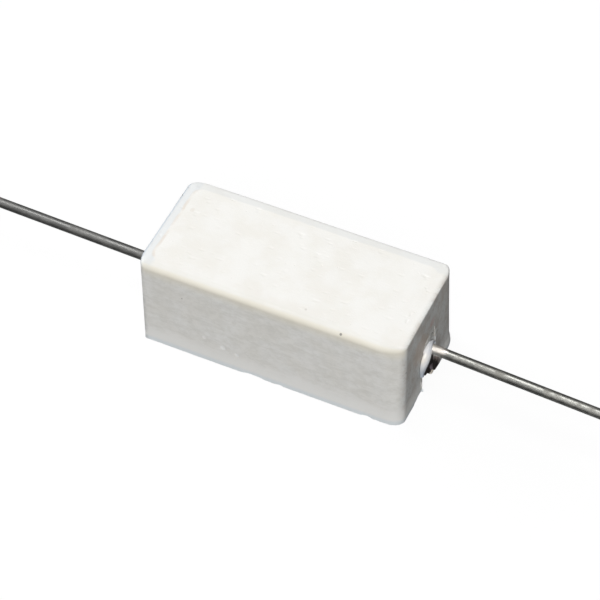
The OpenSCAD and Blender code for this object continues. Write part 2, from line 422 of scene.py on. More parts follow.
class Effects:
    """The node groups that the finishes are painted with, each built once and kept by name."""

    def __init__(self) -> None:
        """Builds every group."""
        self.groups: dict[str, NodeTree] = {}
        for build in (self.grain, self.specks, self.streaks, self.stain, self.inset):
            build()

    def start(
        self, name: str, inputs: tuple[str, ...], outputs: tuple[str, ...]
    ) -> tuple[Graph, list[Output], list[NodeSocket]]:
        """Starts a group and keeps it by its name.

        Args:
            name: The group's name.
            inputs: The inputs' names: Vector and Centre are vectors, and the others numbers.
            outputs: The outputs' names, each a number.

        Returns:
            The group's graph, what its inputs give, and the sockets that its outputs take.
        """
        tree = self.groups[name] = bpy.data.node_groups.new(name, "ShaderNodeTree")
        for label in inputs:
            kind = "NodeSocketVector" if label in ("Vector", "Centre") else "NodeSocketFloat"
            tree.interface.new_socket(label, in_out="INPUT", socket_type=kind)
        for label in outputs:
            tree.interface.new_socket(label, in_out="OUTPUT", socket_type="NodeSocketFloat")
        graph = Graph(tree)
        given, made = graph.node("NodeGroupInput").outputs, graph.node("NodeGroupOutput").inputs
        return graph, [Output(graph, given[label]) for label in inputs], [made[label] for label in outputs]

    def grain(self) -> None:
        """Fine grain of a fired or cast body: fine noise with a coarser one under it."""
        graph, (vector, scale), (value, height) = self.start(
            "Grain", ("Vector", "Scale"), ("Value", "Height")
        )
        coarse = graph.noise(vector, scale, 3.0, 0.6)
        fine = graph.noise(vector, scale * 4.3, 2.0, 0.6)
        graph.feed(value, coarse)
        graph.feed(height, coarse * 0.6 + fine * 0.4)

    def specks(self) -> None:
        """Sparse round specks: the cells of a pattern that are picked at random, near their centres."""
        graph, (vector, scale, share, size), (mask,) = self.start(
            "Specks", ("Vector", "Scale", "Share", "Size"), ("Mask",)
        )
        cells = graph.outputs("TexVoronoi", {"Vector": vector, "Scale": scale})
        picked = graph.maths("LESS_THAN", graph.parts(cells["Color"])[0], share)
        graph.feed(mask, picked * cells["Distance"].step(size * 0.5, size, 1.0, 0.0))

    def streaks(self) -> None:
        """Marks drawn out along X: noise that is stretched by a factor, in two widths."""
        graph, (vector, scale, stretch), (value,) = self.start(
            "Streaks", ("Vector", "Scale", "Stretch"), ("Value",)
        )
        along = graph.add("CombineXYZ", (graph.maths("DIVIDE", 1.0, stretch), 1.0, 1.0))
        drawn = graph.vector("MULTIPLY", vector, along)
        graph.feed(value, graph.noise(drawn, scale) * 0.6 + graph.noise(drawn, scale * 3.7) * 0.4)

    def stain(self) -> None:
        """A ragged spot round a point, for marks and painted shade: one inside its radius, easing to nothing,
        with a noisy edge.
        """
        graph, (vector, centre, radius, softness, ragged), (mask,) = self.start(
            "Stain", ("Vector", "Centre", "Radius", "Softness", "Ragged"), ("Mask",)
        )
        gap = graph.vector("DISTANCE", vector, centre, output="Value")
        strayed = (graph.noise(vector, 2.2, 3.0) - 0.5) * ragged + gap
        graph.feed(mask, strayed.step(radius, radius + softness, 1.0, 0.0))

    def inset(self) -> None:
        """Distance in from the outline of a rounded rectangle about Z: the corner's radius less the
        length of what lies past the corner's square."""
        graph, (vector, half_length, half_width, corner), (inset,) = self.start(
            "Inset", ("Vector", "Half Length", "Half Width", "Corner"), ("Inset",)
        )
        x, y, _ = graph.parts(graph.vector("ABSOLUTE", vector))
        past = x - half_length + corner, y - half_width + corner
        outer = graph.add("CombineXYZ", tuple(graph.maths("MAXIMUM", value, 0.0) for value in past))
        inner = graph.maths("MINIMUM", graph.maths("MAXIMUM", *past), 0.0)
        graph.feed(inset, corner - (graph.vector("LENGTH", outer, output="Value") + inner))


# Finishes


@dataclass(frozen=True)
class ShadePatch:
    """Painted shade round a point: a dark patch, taller than it is wide, with a brown edge."""

    centre: Spot
    reach: float
    lowness: float = 0.55  # its width as a share of its height
    ragged: float = 0.6  # how far its edge strays
    softness: float = 0.3
    painted_shade: Colour = tone(42, 34, 32)
    edge: Colour = tone(112, 92, 86)
    edge_width: float = 0.25
    edge_softness: float = 0.4
    edge_strength: float = 0.8


@dataclass(frozen=True)
class Mark:
    """A small ragged mark on a surface: some are specks and stains, some painted highlights."""

    centre: Spot
    radius: float
    colour: Colour
    strength: float


class Paint:
    """A material in the making: its graph, the place in millimetres and the colour so far."""

    def __init__(self, graph: Graph, effects: Effects, place: Output, colour: Colour) -> None:
        """Starts with a plain colour."""
        self.graph, self.effects, self.place, self.colour = graph, effects, place, colour

    @cached_property
    def parts(self) -> list[Output]:
        """The place's X, Y and Z."""
        return self.graph.parts(self.place)

    def noise(self, scale: float, detail: float = 2.0, roughness: float = 0.5) -> Output:
        """Noise over the place."""
        return self.graph.noise(self.place, scale, detail, roughness)

    def use(self, name: str, **inputs: object) -> dict[str, Output]:
        """Places a shared group, with values by its inputs' names, _ for a blank, and gives its outputs."""
        named = {"Vector": self.place} | {label.replace("_", " "): value for label, value in inputs.items()}
        return self.graph.outputs("Group", named, node_tree=self.effects.groups[name])

    def cover(self, factor: Output, colour: object) -> None:
        """Lays a colour over the one so far, by a factor."""
        self.colour = self.graph.mix(factor, self.colour, colour)

    def mark(self, marks: tuple[Mark, ...]) -> None:
        """Lays single marks over the colour.

        Args:
            marks: The marks.
        """
        for mark in marks:
            r = mark.radius
            spot = self.use("Stain", Centre=mark.centre, Radius=r * 0.6, Softness=r * 0.5, Ragged=r)
            self.cover(spot["Mask"] * mark.strength, mark.colour)

    def shade_patch(self, shade_patch: ShadePatch) -> Output:
        """Lays painted shade over the colour round a point: a dark patch, brown at its edge.

        Args:
            shade_patch: Where the painted shade lies and how it looks.

        Returns:
            How much of the painted shade lies at each place.
        """
        low = self.graph.scaled(self.place, (1.0, 1.0, shade_patch.lowness))
        x, y, z = shade_patch.centre
        shape = {"Vector": low, "Centre": (x, y, z * shade_patch.lowness), "Ragged": shade_patch.ragged}
        wide, softness = shade_patch.reach + shade_patch.edge_width, shade_patch.edge_softness
        brown = self.use("Stain", Radius=wide, Softness=softness, **shape)["Mask"]
        shade_mask = self.use("Stain", Radius=shade_patch.reach, Softness=shade_patch.softness, **shape)["Mask"]
        self.cover(brown * shade_patch.edge_strength, shade_patch.edge)
        self.cover(shade_mask, shade_patch.painted_shade)
        return shade_mask


@dataclass(frozen=True)
class Finish:
    """What every finish has: its colour under all patterns, and the shader's own constant values."""

    name: str
    body: Colour = tone(255, 255, 255)
    metallic: float = 0.0
    coat: float = 0.0
    coat_roughness: float = 0.1
    bump: float = 0.01  # depth of the bump in millimetres

    def build(self, effects: Effects) -> Material:
        """Makes the material.

        Args:
            effects: The shared node groups.

        Returns:
            The material, with its colour, roughness and bump patterned by nodes.
        """
        material = bpy.data.materials.new(self.name)
        material.use_nodes = True
        material.diffuse_color = self.body
        graph = Graph(material.node_tree)
        paint = Paint(graph, effects, self.place(graph), self.body)
        roughness, height = self.pattern(paint)
        shader = material.node_tree.nodes["Principled BSDF"]
        for name, value in {
            "Metallic": self.metallic,
            "Coat Weight": self.coat,
            "Coat Roughness": self.coat_roughness,
            "Base Color": paint.colour,
            "Roughness": roughness,
            "Normal": graph.add("Bump", {"Distance": self.bump * MM, "Height": height}, "Normal"),
        }.items():
            graph.feed(shader.inputs[name], value)
        return material

    def place(self, graph: Graph) -> Output:
        """The place on the object in millimetres."""
        return graph.scaled(graph.outputs("TexCoord")["Object"], (1 / MM, 1 / MM, 1 / MM))

    def pattern(self, paint: Paint) -> tuple[Output, Output]:
        """Paints the finish's colours.

        Args:
            paint: The material in the making, with the body's colour.

        Returns:
            The roughness, and the height of the bump.
        """
        raise NotImplementedError


@dataclass(frozen=True)
class CaseCeramic(Finish):
    """Unglazed white ceramic: a warm body, faint drag marks on the sides, a cooler frame on the top, and
    painted light and shade.
    """

    body: Colour = tone(244, 242, 236)
    pale: Colour = tone(248, 247, 243)  # paler patches
    grey: Colour = tone(222, 220, 212)  # drag marks, and the painted shade on the near edge's rounding
    soil: Colour = tone(203, 197, 189)  # dirt on the ends
    pale_patch: Colour = tone(224, 225, 222)  # cleaner patches there
    grime: Colour = tone(172, 166, 158)  # darker spots there
    frame: Colour = tone(231, 234, 235)  # the bevel at the top's left and far edges
    crease: Colour = tone(224, 212, 198)  # the line along that bevel's inner edge
    fired: Colour = tone(255, 246, 219)  # the fired edge between the top and the near side
    rim: Colour = tone(198, 206, 213)  # the top's rounded left edge
    foot: Colour = tone(255, 254, 250)  # painted light: the paler band near the mouth, for light from the floor
    brim: Colour = tone(241, 247, 249)  # its lowest half millimetre, bluer, part of that painted light
    corner_shade: Colour = tone(170, 172, 172)  # painted shade down the near left corner
    speck: Colour = tone(96, 92, 84)
    painted_shade: ShadePatch = ShadePatch((10.95, 1.35, 0.45), 0.35)  # painted shade beside the right slot, dark on the far jamb's face
    marks: tuple[Mark, ...] = (
        Mark((5.96, -4.58, 8.34), 0.11, tone(162, 158, 150), 1.0),
        Mark((-5.43, -4.9, 2.56), 0.20, tone(255, 253, 250), 0.8),
        Mark((-3.86, -4.9, 2.12), 0.24, tone(255, 255, 252), 1.0),
        Mark((-2.67, -4.9, 1.84), 0.20, tone(255, 255, 252), 0.8),
        Mark((2.69, -3.68, 8.58), 0.12, tone(205, 202, 194), 0.45),
        Mark((-9.4, 1.7, 8.6), 0.2, tone(232, 226, 216), 0.4),
        Mark((-10.97, 2.65, 8.35), 0.17, tone(48, 48, 50), 1.0),
        Mark((-10.97, 2.9, 8.35), 0.15, tone(48, 48, 50), 1.0),
        Mark((-10.97, 1.95, 8.35), 0.10, tone(96, 98, 102), 0.9),
        # Painted highlights: a pale bluish streak down the right slot's far jamb edge
        Mark((11.0, 1.3, 3.25), 0.20, tone(255, 255, 255), 1.0),
        Mark((11.0, 1.4, 3.9), 0.26, tone(246, 252, 255), 0.5),
        Mark((11.0, 1.45, 4.6), 0.24, tone(246, 252, 255), 0.45),
        Mark((11.0, 1.75, 1.2), 0.45, tone(196, 176, 166), 0.6),
        Mark((11.0, -1.5, 5.6), 1.5, tone(206, 188, 172), 0.5),
        Mark((11.0, 0.7, 6.4), 0.5, tone(212, 186, 180), 0.5),
    )
    height: float = 8.6
    half_length: float = 11.0
    half_width: float = 4.75  # of the top
    corner: float = 1.7  # radius of the frame's corners
    frame_width: float = 0.85
    foot_height: float = 1.1
    foot_fade: float = 1.8

    def pattern(self, paint: Paint) -> tuple[Output, Output]:
        """Paints the clay and the top's frame, then the edges, the foot, the near left corner and the marks,
        with painted light and shade among them.

        Args:
            paint: The material in the making, with the body's colour.

        Returns:
            The roughness, and the height of the bump.
        """
        x, y, z = paint.parts
        high, left, near = self.height, -self.half_length, -self.half_width
        side = z.step(high - 0.25, high - 0.6)
        drags = paint.use("Streaks", Scale=1.8, Stretch=3.0)["Value"]
        self.clay(paint, side, drags)
        self.top_frame(paint, side)
        # The near upper edge: fired yellow, with painted shade on its rounding: a grey line that damps the
        # light there
        from_left = x.step(left + 0.3, left + 0.7)
        fired = z.step(high - 1.5, high - 0.3) * z.step(high - 0.2, high - 0.05, 1.0, 0.0)
        paint.cover(fired * y.step(near + 1.0, near + 0.5) * from_left * 0.45, self.fired)
        edge_shade = y.step(near + 0.75, near + 0.45, 0.0, 0.3) * z.step(high - 0.35, high - 0.15)
        paint.cover(edge_shade * from_left, self.grey)
        # Painted light: a paler band near the mouth for the light from the floor, with a wavering upper edge
        waver = paint.noise(0.7) * 0.8 + z
        paint.cover(waver.step(self.foot_height, self.foot_height + self.foot_fade, 1.0, 0.0), self.foot)
        paint.cover(z.step(0.75, 0.25, 0.0, 0.9), self.brim)
        # Painted shade down the near left corner, broken up by noise below the top's edge
        upright = x.step(left + 0.8, left + 0.25, 0.0, 0.7) * y.step(near + 0.85, near + 0.25)
        patchy = paint.noise(0.9, 4.0, 0.7).step(0.3, 0.6, 0.3, 1.0)
        paint.cover(upright * z.step(high - 0.1, high - 0.6) * patchy, self.corner_shade)
        paint.cover(paint.use("Specks", Scale=0.55, Share=0.12, Size=0.05)["Mask"] * 0.5, self.speck)
        paint.shade_patch(self.painted_shade)
        paint.mark(self.marks)
        grain = paint.use("Grain", Scale=3.0)
        pits = paint.use("Specks", Scale=1.6, Share=0.2, Size=0.13)["Mask"]
        return grain["Value"] * 0.25 + 0.42, drags * side * 0.5 + grain["Height"] - pits * 0.7

    def clay(self, paint: Paint, side: Output, drags: Output) -> None:
        """Paints the patches, the drag marks on the sides and the dirt on the ends.

        Args:
            paint: The material in the making.
            side: One on the sides and nothing on the top.
            drags: The drag marks.
        """
        graph = paint.graph
        paint.cover(paint.noise(0.42, 3.0).step(0.35, 0.65), self.pale)
        paint.cover(drags.step(0.42, 0.66) * side * 0.4, self.grey)
        paint.cover(paint.noise(1.7, 4.0, 0.7).step(0.42, 0.62) * side * 0.3, self.grey)
        smears = graph.noise(graph.scaled(paint.place, (1.0, 1.0, 0.7)), 0.9, 5.0, 0.75).step(0.36, 0.62)
        spotted = paint.noise(3.2, 3.0, 0.7).step(0.5, 0.7, 0.0, 0.5)
        dirt = graph.mix(spotted, graph.mix(smears, self.soil, self.pale_patch), self.grime)
        end = abs(paint.parts[0]).step(self.half_length - 0.5, self.half_length)
        paint.cover(end * 0.9, dirt)

    def top_frame(self, paint: Paint, side: Output) -> None:
        """Paints the bevel's cooler frame at the top's left and far edges, and its crease at the left.

        Args:
            paint: The material in the making.
            side: One on the sides and nothing on the top.
        """
        x, y, z = paint.parts
        length, width, top = self.half_length, self.half_width, 1.0 - side
        inset = paint.use("Inset", Half_Length=length, Half_Width=width, Corner=self.corner)["Inset"]
        inset = paint.noise(0.5, 3.0) * 0.24 + (inset - 0.12)
        left, far = x.step(1.5 - length, 1.0 - length), y.step(width - 1.4, width - 1.0, 0.0, 0.5)
        framed = inset.step(self.frame_width - 0.14, self.frame_width + 0.06, 1.0, 0.0)
        paint.cover(framed * paint.graph.maths("MAXIMUM", left, far) * top * 0.8, self.frame)
        edge = x.step(0.35 - length, 0.15 - length) * z.step(self.height - 0.7, self.height - 0.4)
        paint.cover(edge, self.rim)
        creased = abs(inset - self.frame_width).step(0.03, 0.2, 1.0, 0.0)
        broken = paint.noise(0.8).step(0.35, 0.6)
        paint.cover(creased * broken * left * top * 0.45, self.crease)


@dataclass(frozen=True)
class CastCement(Finish):
    """Cast silica cement: matt, sandy and pitted, with painted shade below the right lead and painted light
    in the right slot.
    """

    body: Colour = tone(214, 213, 208)
    sand: Colour = tone(178, 170, 156)
    damp: Colour = tone(190, 189, 184)  # darker patches
    # Painted shade in the hollow below the right lead
    painted_shade: ShadePatch = ShadePatch((10.75, 0.35, 1.1), 1.05, 0.7)
    marks: tuple[Mark, ...] = (
        # Painted light: a pale patch above the lead, a warm glint at the slot's foot and a lighter stripe on
        # the far jamb
        Mark((10.95, 0.62, 4.0), 0.55, tone(250, 250, 250), 0.8),
        Mark((11.0, 0.76, 0.30), 0.28, tone(250, 240, 224), 1.0),
        Mark((10.85, 1.05, 0.70), 0.30, tone(150, 138, 146), 0.7),
    )

    def pattern(self, paint: Paint) -> tuple[Output, Output]:
        """Paints patches, grains of sand, the painted shade and the painted light, with pits in the bump.

        Args:
            paint: The material in the making, with the body's colour.

        Returns:
            The roughness, and the height of the bump.
        """
        paint.cover(paint.noise(0.5, 3.0).step(0.35, 0.7), self.damp)
        sand = paint.use("Specks", Scale=5.0, Share=0.35, Size=0.3)["Mask"]
        paint.cover(sand * 0.5, self.sand)
        shade_mask = paint.shade_patch(self.painted_shade)
        paint.mark(self.marks)
        grain = paint.use("Grain", Scale=6.0)
        pits = paint.use("Specks", Scale=2.6, Share=0.4, Size=0.2)["Mask"]
        return grain["Value"] * 0.2 + (0.72 - shade_mask * 0.3), sand * 0.3 + (grain["Height"] - pits * 0.8)


@dataclass(frozen=True)
class GlossyCement(Finish):
    """The smooth bead of cement beside the right lead: nearly white and glossy, greyer at its foot with
    painted shade.
    """

    body: Colour = tone(248, 248, 248)
    shade: Colour = tone(230, 234, 242)  # faint patches
    warm_light: Colour = tone(255, 246, 231)  # painted light, warm, on the near upper side
    pale: Colour = tone(232, 240, 255)  # painted light, bluish, on the far side
    foot_shade: Colour = tone(190, 199, 210)  # painted shade at the foot

    def pattern(self, paint: Paint) -> tuple[Output, Output]:
        """Paints faint patches, painted light on the two sides and painted shade at the foot, with a little
        fine grain.

        Args:
            paint: The material in the making, with the body's colour.

        Returns:
            The roughness, and the height of the bump.
        """
        _, y, z = paint.parts
        across = y - z * 0.75
        paint.cover(paint.noise(1.3).step(0.4, 0.75) * 0.6, self.shade)
        paint.cover(across.step(-4.2, -3.7) * z.step(4.5, 4.1, 0.2, 0.8), self.pale)
        paint.cover(across.step(-4.3, -4.8) * z.step(3.6, 4.3), self.warm_light)
        paint.cover(z.step(4.1, 2.9, 0.0, 0.9), self.foot_shade)
        grain = paint.use("Grain", Scale=4.0)
        return grain["Value"] * 0.2 + 0.12, grain["Height"]


@dataclass(frozen=True)
class DrawnMetal(Finish):
    """Drawn metal: fine draw lines along X, dull patches and a few dark spots."""

    body: Colour = tone(190, 190, 186)
    dull: Colour = tone(140, 138, 132)  # dull patches
    spot: Colour = tone(60, 56, 52)  # dark spots
    metallic: float = 1.0
    smooth: float = 0.22  # roughness of the bright metal
    rough: float = 0.25  # roughness that the dull patches add
    lines: float = 9.0  # draw lines for each millimetre
    patch: float = 0.7  # dull patches for each millimetre
    straightened: bool = False  # whether the piece has its straightened place as an attribute
    pale_patch: tuple[Mark, ...] = ()  # a painted highlight: a pale patch on it

    def place(self, graph: Graph) -> Output:
        """The place on the object, or along and round the wire as if it were straight.

        Args:
            graph: The material's graph.

        Returns:
            The place in millimetres.
        """
        if self.straightened:
            return graph.add("Attribute", (), "Vector", attribute_name=STRAIGHTENED)
        return super().place(graph)

    def pattern(self, paint: Paint) -> tuple[Output, Output]:
        """Paints dull patches, draw lines, spots and the painted highlight.

        Args:
            paint: The material in the making, with the metal's colour.

        Returns:
            The roughness, and the height of the bump.
        """
        lines = paint.use("Streaks", Scale=self.lines, Stretch=40.0)["Value"]
        dulled = paint.noise(self.patch, 4.0, 0.6).step(0.4, 0.68)
        paint.cover(dulled * 0.6, self.dull)
        paint.cover(lines.step(0.5, 0.75, 0.0, 0.45), self.dull)
        spots = paint.use("Specks", Scale=1.6, Share=0.12, Size=0.08)["Mask"]
        paint.cover(spots * 0.5, self.spot)
        paint.mark(self.pale_patch)
        return dulled * self.rough + self.smooth, lines - spots * 0.5


@dataclass(frozen=True)
class RodCeramic(Finish):
    """Matt fired ceramic of the rod inside, cream with faint patches."""

    body: Colour = tone(226, 219, 203)
    shade: Colour = tone(205, 196, 176)

    def pattern(self, paint: Paint) -> tuple[Output, Output]:
        """Paints the lines from the extrusion, with fine grain in the bump.

        Args:
            paint: The material in the making, with the body's colour.

        Returns:
            The roughness, and the height of the bump.
        """
        lines = paint.use("Streaks", Scale=2.0, Stretch=12.0)["Value"]
        paint.cover(lines.step(0.4, 0.7), self.shade)
        grain = paint.use("Grain", Scale=4.0)
        return grain["Value"] * 0.25 + 0.6, lines * 0.5 + grain["Height"]


# Pieces


@dataclass
class Outline:
    """Columns of points round a rounded rectangle, as shares that suit one of any size.

    The columns run round as seen from above, a side at a time: the near long side, the right end, the
    far long side and the left end. Each side starts and ends in the middle of its corners' arcs. The
    corners are numbered from the near right one on, and each is a quarter of an ellipse.
    """

    arc: int  # columns in half a corner
    long: int  # columns on the straight of a long side
    end: int  # columns on the straight of an end
    share: Array = field(init=False)  # how far each column is along its side's straight
    turn: Array = field(init=False)  # how far it has turned round a corner from its side's direction
    side: Array = field(init=False)  # its side's number
    outward: Array = field(init=False)  # its side's direction outwards
    tangent: Array = field(init=False)  # its side's direction onwards
    least: float = 0.04  # least reach of a corner

    def __post_init__(self) -> None:
        """Works out each column's share along its side, its turn and its side's two directions."""
        eighth = radians(45)
        share, turn, side = [], [], []
        for number, straight in enumerate((self.long, self.end, self.long, self.end)):
            level = np.zeros(straight + 1)
            share += [np.zeros(self.arc), np.linspace(0, 1, straight + 1), np.ones(self.arc - 1)]
            turn += [np.linspace(-eighth, 0, self.arc, endpoint=False), level]
            turn += [np.linspace(0, eighth, self.arc + 1)[1:-1]]
            side += [np.full(straight + 2 * self.arc, number)]
        self.share, self.turn, self.side = map(np.concatenate, (share, turn, side))
        angle = self.side * pi / 2
        self.outward = np.column_stack([np.sin(angle), -np.cos(angle)]).round()
        self.tangent = np.column_stack([np.cos(angle), np.sin(angle)]).round()

    @property
    def count(self) -> int:
        """Number of columns."""
        return len(self.share)

    @property
    def at_end(self) -> Array:
        """Whether each column is on an end."""
        return self.side % 2 == 1

    def reaches(self, corners: Array) -> tuple[Array, ...]:
        """How far the corners reach at each column.

        Args:
            corners: Each corner's reach along the long side and along the end.

        Returns:
            The reach along the column's side at the side's start and at its end, and then the reach
            along the side and out from it of the corner that the column itself is nearest to.
        """
        own = self.at_end.astype(int)
        first, last = (self.side - 1) % 4, self.side
        nearest = np.where(self.turn < 0, first, last)
        return corners[first, own], corners[last, own], corners[nearest, own], corners[nearest, 1 - own]

    def normal(self, corners: Array) -> Array:
        """Outward normals of the upright face.

        Args:
            corners: Each corner's reach along the long side and along the end.

        Returns:
            A unit vector at each column.
        """
        *_, along, out = self.reaches(corners)
        lengthways = (out * np.sin(self.turn))[:, None] * self.tangent
        flat = lengthways + (along * np.cos(self.turn))[:, None] * self.outward
        flat /= np.linalg.norm(flat, axis=1, keepdims=True)
        return np.column_stack([flat, np.zeros(self.count)])

    def ring(self, length: object, width: object, corners: Array, z: object, inset: object = 0.0) -> Array:
        """Rings of points: straight between the two corners of a side, and round an ellipse at each.

        Args:
            length: Half the rectangle's length, one number or one for each ring.
            width: Half its width.
            corners: Each corner's reach along the long side and along the end.
            z: Height of the ring, also by rings and columns.
            inset: How far the ring is in from that rectangle, also by rings and columns.

        Returns:
            Rings by columns by three.
        """
        length, width, z, inset = (
            given if np.ndim(given) == 2 else np.reshape(given, (-1, 1))
            for given in (length, width, z, inset)
        )
        first, last, along, out = (np.maximum(r - inset, self.least) for r in self.reaches(corners))
        own = np.where(self.at_end, width, length) - inset
        other = np.where(self.at_end, length, width) - inset
        straight = (first - own) + (2 * own - first - last) * self.share
        sideways = straight + along * np.sin(self.turn)
        outwards = other - out + out * np.cos(self.turn)
        sideways, outwards, z = np.broadcast_arrays(sideways, outwards, z)
        flat = sideways[..., None] * self.tangent + outwards[..., None] * self.outward
        return np.concatenate([flat, z[..., None]], axis=-1)


@dataclass
class CaseShell:
    """The pressed ceramic trough, closed side up, with a U-shaped slot in each end wall.

    Its skin is one grid of points. Each column starts on the flat of the top, goes over the bevel and
    the edge, down the outside to the rim, across the wall's thickness, and up the inside to the roof.
    At an end the rim is the slot's own outline, so the columns there fan out to its jambs and arch.

    Each upright corner has its own reach along the long side and along the end: near right, far right,
    far left and near left. The pressing has left them unlike one another. Edges and bevel shares are
    given for the near side, right end, far side and left end.
    """

    half_length: float
    foot_half_width: float  # half the width at the mouth
    height: float
    flare: float = 0.3  # how much narrower each side is at the top
    corners: tuple = ((2.2, 0.9), (0.8, 1.5), (1.5, 0.8), (0.7, 1.5))
    foot_corners: tuple = ((1.3, 0.9), (0.8, 1.5), (1.5, 0.8), (0.45, 1.9))
    edges: tuple = (0.6, 0.12, 0.3, 0.35)  # radius between the top and each side
    bevel_width: float = 0.85
    bevel_drop: float = 0.06
    bevel_shares: tuple = (0.0, 0.0, 0.7, 1.0)  # how much of the bevel's drop each side has
    rim: float = 0.1  # radius of the rim's outer and inner edge
    bulge: Spot = (11.0, 3.2, 0.2)  # middle of a bulge at the foot of the right end
    bulge_reach: Spot = (0.9, 2.0, 0.6)
    bulge_rise: float = 0.11
    bulge_full: float = 0.5  # share of its reach within which it has its full rise
    dents: tuple = ((-5.43, 2.56, 0.24), (-3.86, 2.16, 0.28), (-2.67, 1.84, 0.24), (-6.9, 3.74, 0.2))
    dent_depth: float = 0.35  # of its radius, which follows its place along X and up the near side
    wavers: tuple = (Waver(0.030, 5.0, 11, 3), Waver(0.010, 1.2, 21, 3))
    drags: tuple = (Waver(0.008, (3.0, 0.7, 0.5), 31), Waver(0.006, 0.35, 33))
    drag_start: float = 0.5  # how far below the top the drag marks start
    pits: Scatter = Scatter(0.035, 0.32, 41, level=0.86, rise=0.08)
    chips: Scatter = Scatter(0.08, (0.9, 0.6, 0.5), 51, level=0.66, rise=0.16)
    chip_height: float = 0.55  # highest place of a chip at the mouth
    wear_fade: float = 0.4  # height over which drag marks and chips set in
    side_wall: float = 1.3
    end_wall: float = 1.3
    roof: float = 1.2
    trough_corner: float = 0.9
    trough_edge: float = 0.6
    slot_radius: float = 1.1
    slot_foot: float = 0.06  # radius at the foot of a jamb
    slot_shifts: tuple[float, float] = (0.0, 0.12)  # of the left and right slot towards the far side
    axis_height: float = 4.2
    foot_columns: int = 14
    fillet_columns: int = 4
    jamb_columns: int = 24
    arch_columns: int = 24
    long_columns: int = 140
    corner_columns: int = 9
    bevel_rows: int = 4
    edge_rows: int = 10
    wall_rows: int = 72
    rim_rows: int = 7
    thickness_rows: int = 9
    inner_rim_rows: int = 5
    inside_rows: int = 8
    ceiling_rows: int = 5

    def slot_outline(self, start: float, end: float) -> tuple[Array, Array]:
        """The rim across an end: the foot, a fillet, the jamb, the arch, and back down.

        Args:
            start: Where the first corner ends, sideways from the middle.
            end: Where the last corner starts.

        Returns:
            Points as [sideways, up] across the end, and the direction out of the material at each.
        """
        r, f = self.slot_radius, self.slot_foot
        bend = np.linspace(0, pi / 2, self.fillet_columns, endpoint=False)
        jamb = np.linspace(f, self.axis_height, self.jamb_columns, endpoint=False)
        arch = np.linspace(pi, 0, self.arch_columns + 1)
        over = np.column_stack([np.cos(arch), np.sin(arch)])
        mirror = np.array([-1.0, 1.0])
        legs = []
        for reach in (start, end):
            foot = np.linspace(-reach, -(r + f), self.foot_columns, endpoint=False)
            legs.append(np.concatenate([
                np.column_stack([foot, np.zeros_like(foot)]),
                np.column_stack([-(r + f) + f * np.sin(bend), f - f * np.cos(bend)]),
                np.column_stack([np.full_like(jamb, -r), jamb]),
            ]))
        leg_out = np.concatenate([
            np.tile([0.0, -1.0], (self.foot_columns, 1)),
            np.column_stack([np.sin(bend), -np.cos(bend)]),
            np.tile([1.0, 0.0], (len(jamb), 1)),
        ])
        points = np.concatenate([legs[0], over * r + [0, self.axis_height], legs[1][::-1] * mirror])
        return points, np.concatenate([leg_out, -over, leg_out[::-1] * mirror])

    def half_width(self, z: object) -> object:
        """Half the width over the long sides at a height."""
        return self.foot_half_width - self.flare * np.asarray(z) / self.height

    def rims(self, outline: Outline, corners: Array, inner: Array) -> tuple[Array, Array, Array]:
        """The two edges of the rim, with the slots in them.

        Args:
            outline: The columns' outline.
            corners: The outside's corners.
            inner: The trough's corners.

        Returns:
            The outer edge, the inner edge, and the direction out of the material at each column.
        """
        inner_length = self.half_length - self.end_wall
        inner_width = self.foot_half_width - self.side_wall
        outer_rim = outline.ring(self.half_length, self.foot_half_width, corners, 0)[0]
        inner_rim = outline.ring(inner_length, inner_width, inner, 0)[0]
        out = np.tile([0.0, 0.0, -1.0], (outline.count, 1))
        narrow, inner_reach = self.slot_radius + self.slot_foot, inner_width - self.trough_corner
        for number, first, shift in ((1, 0, self.slot_shifts[1]), (3, 2, -self.slot_shifts[0])):
            here = (outline.side == number) & (outline.turn == 0)
            start, end = self.foot_half_width - corners[[first, number], 1]
            slot, slot_out = self.slot_outline(start, end)
            tangent, outward = outline.tangent[here], outline.outward[here]
            for rim, half, from_middle, to_middle in (
                (outer_rim, self.half_length, start, end),
                (inner_rim, inner_length, inner_reach, inner_reach),
            ):
                knots = [-from_middle, shift - narrow, shift + narrow, to_middle]
                across = np.interp(slot[:, 0], [-start, -narrow, narrow, end], knots)
                rim[here, :2] = outward * half + across[:, None] * tangent
                rim[here, 2] = slot[:, 1]
            out[here] = np.column_stack([slot_out[:, :1] * tangent, slot_out[:, 1]])
        return outer_rim, inner_rim, out

    def surface(self) -> Surface:
        """Works out the whole skin.

        Returns:
            The closed surface, before wear.
        """
        straight = 2 * (self.foot_columns + self.fillet_columns + self.jamb_columns) + self.arch_columns
        outline = Outline(self.corner_columns, self.long_columns, straight)
        corners, foot_corners = np.array(self.corners), np.array(self.foot_corners)
        inner = np.full((4, 2), self.trough_corner)
        normal, inner_normal = outline.normal(corners), outline.normal(inner)
        facing = np.stack([-normal[:, 1], normal[:, 0], normal[:, 1], -normal[:, 0]], axis=1)
        weight = np.clip(facing, 0, 1) ** 2
        drop, radius = self.bevel_drop * weight @ np.array(self.bevel_shares), weight @ np.array(self.edges)
        top = self.half_width(self.height)

        # Over the bevel, and then over the edge to the sides
        share = np.linspace(0, 1, self.bevel_rows, endpoint=False)[:, None]
        inset = self.bevel_width + (radius - self.bevel_width) * share
        bevel = outline.ring(self.half_length, top, corners, self.height - drop * share, inset)
        angle = np.linspace(pi / 2, 0, self.edge_rows)[:, None]
        fall = drop + radius * (1 - np.sin(angle))
        edge = outline.ring(self.half_length, top, corners, self.height - fall, radius * (1 - np.cos(angle)))

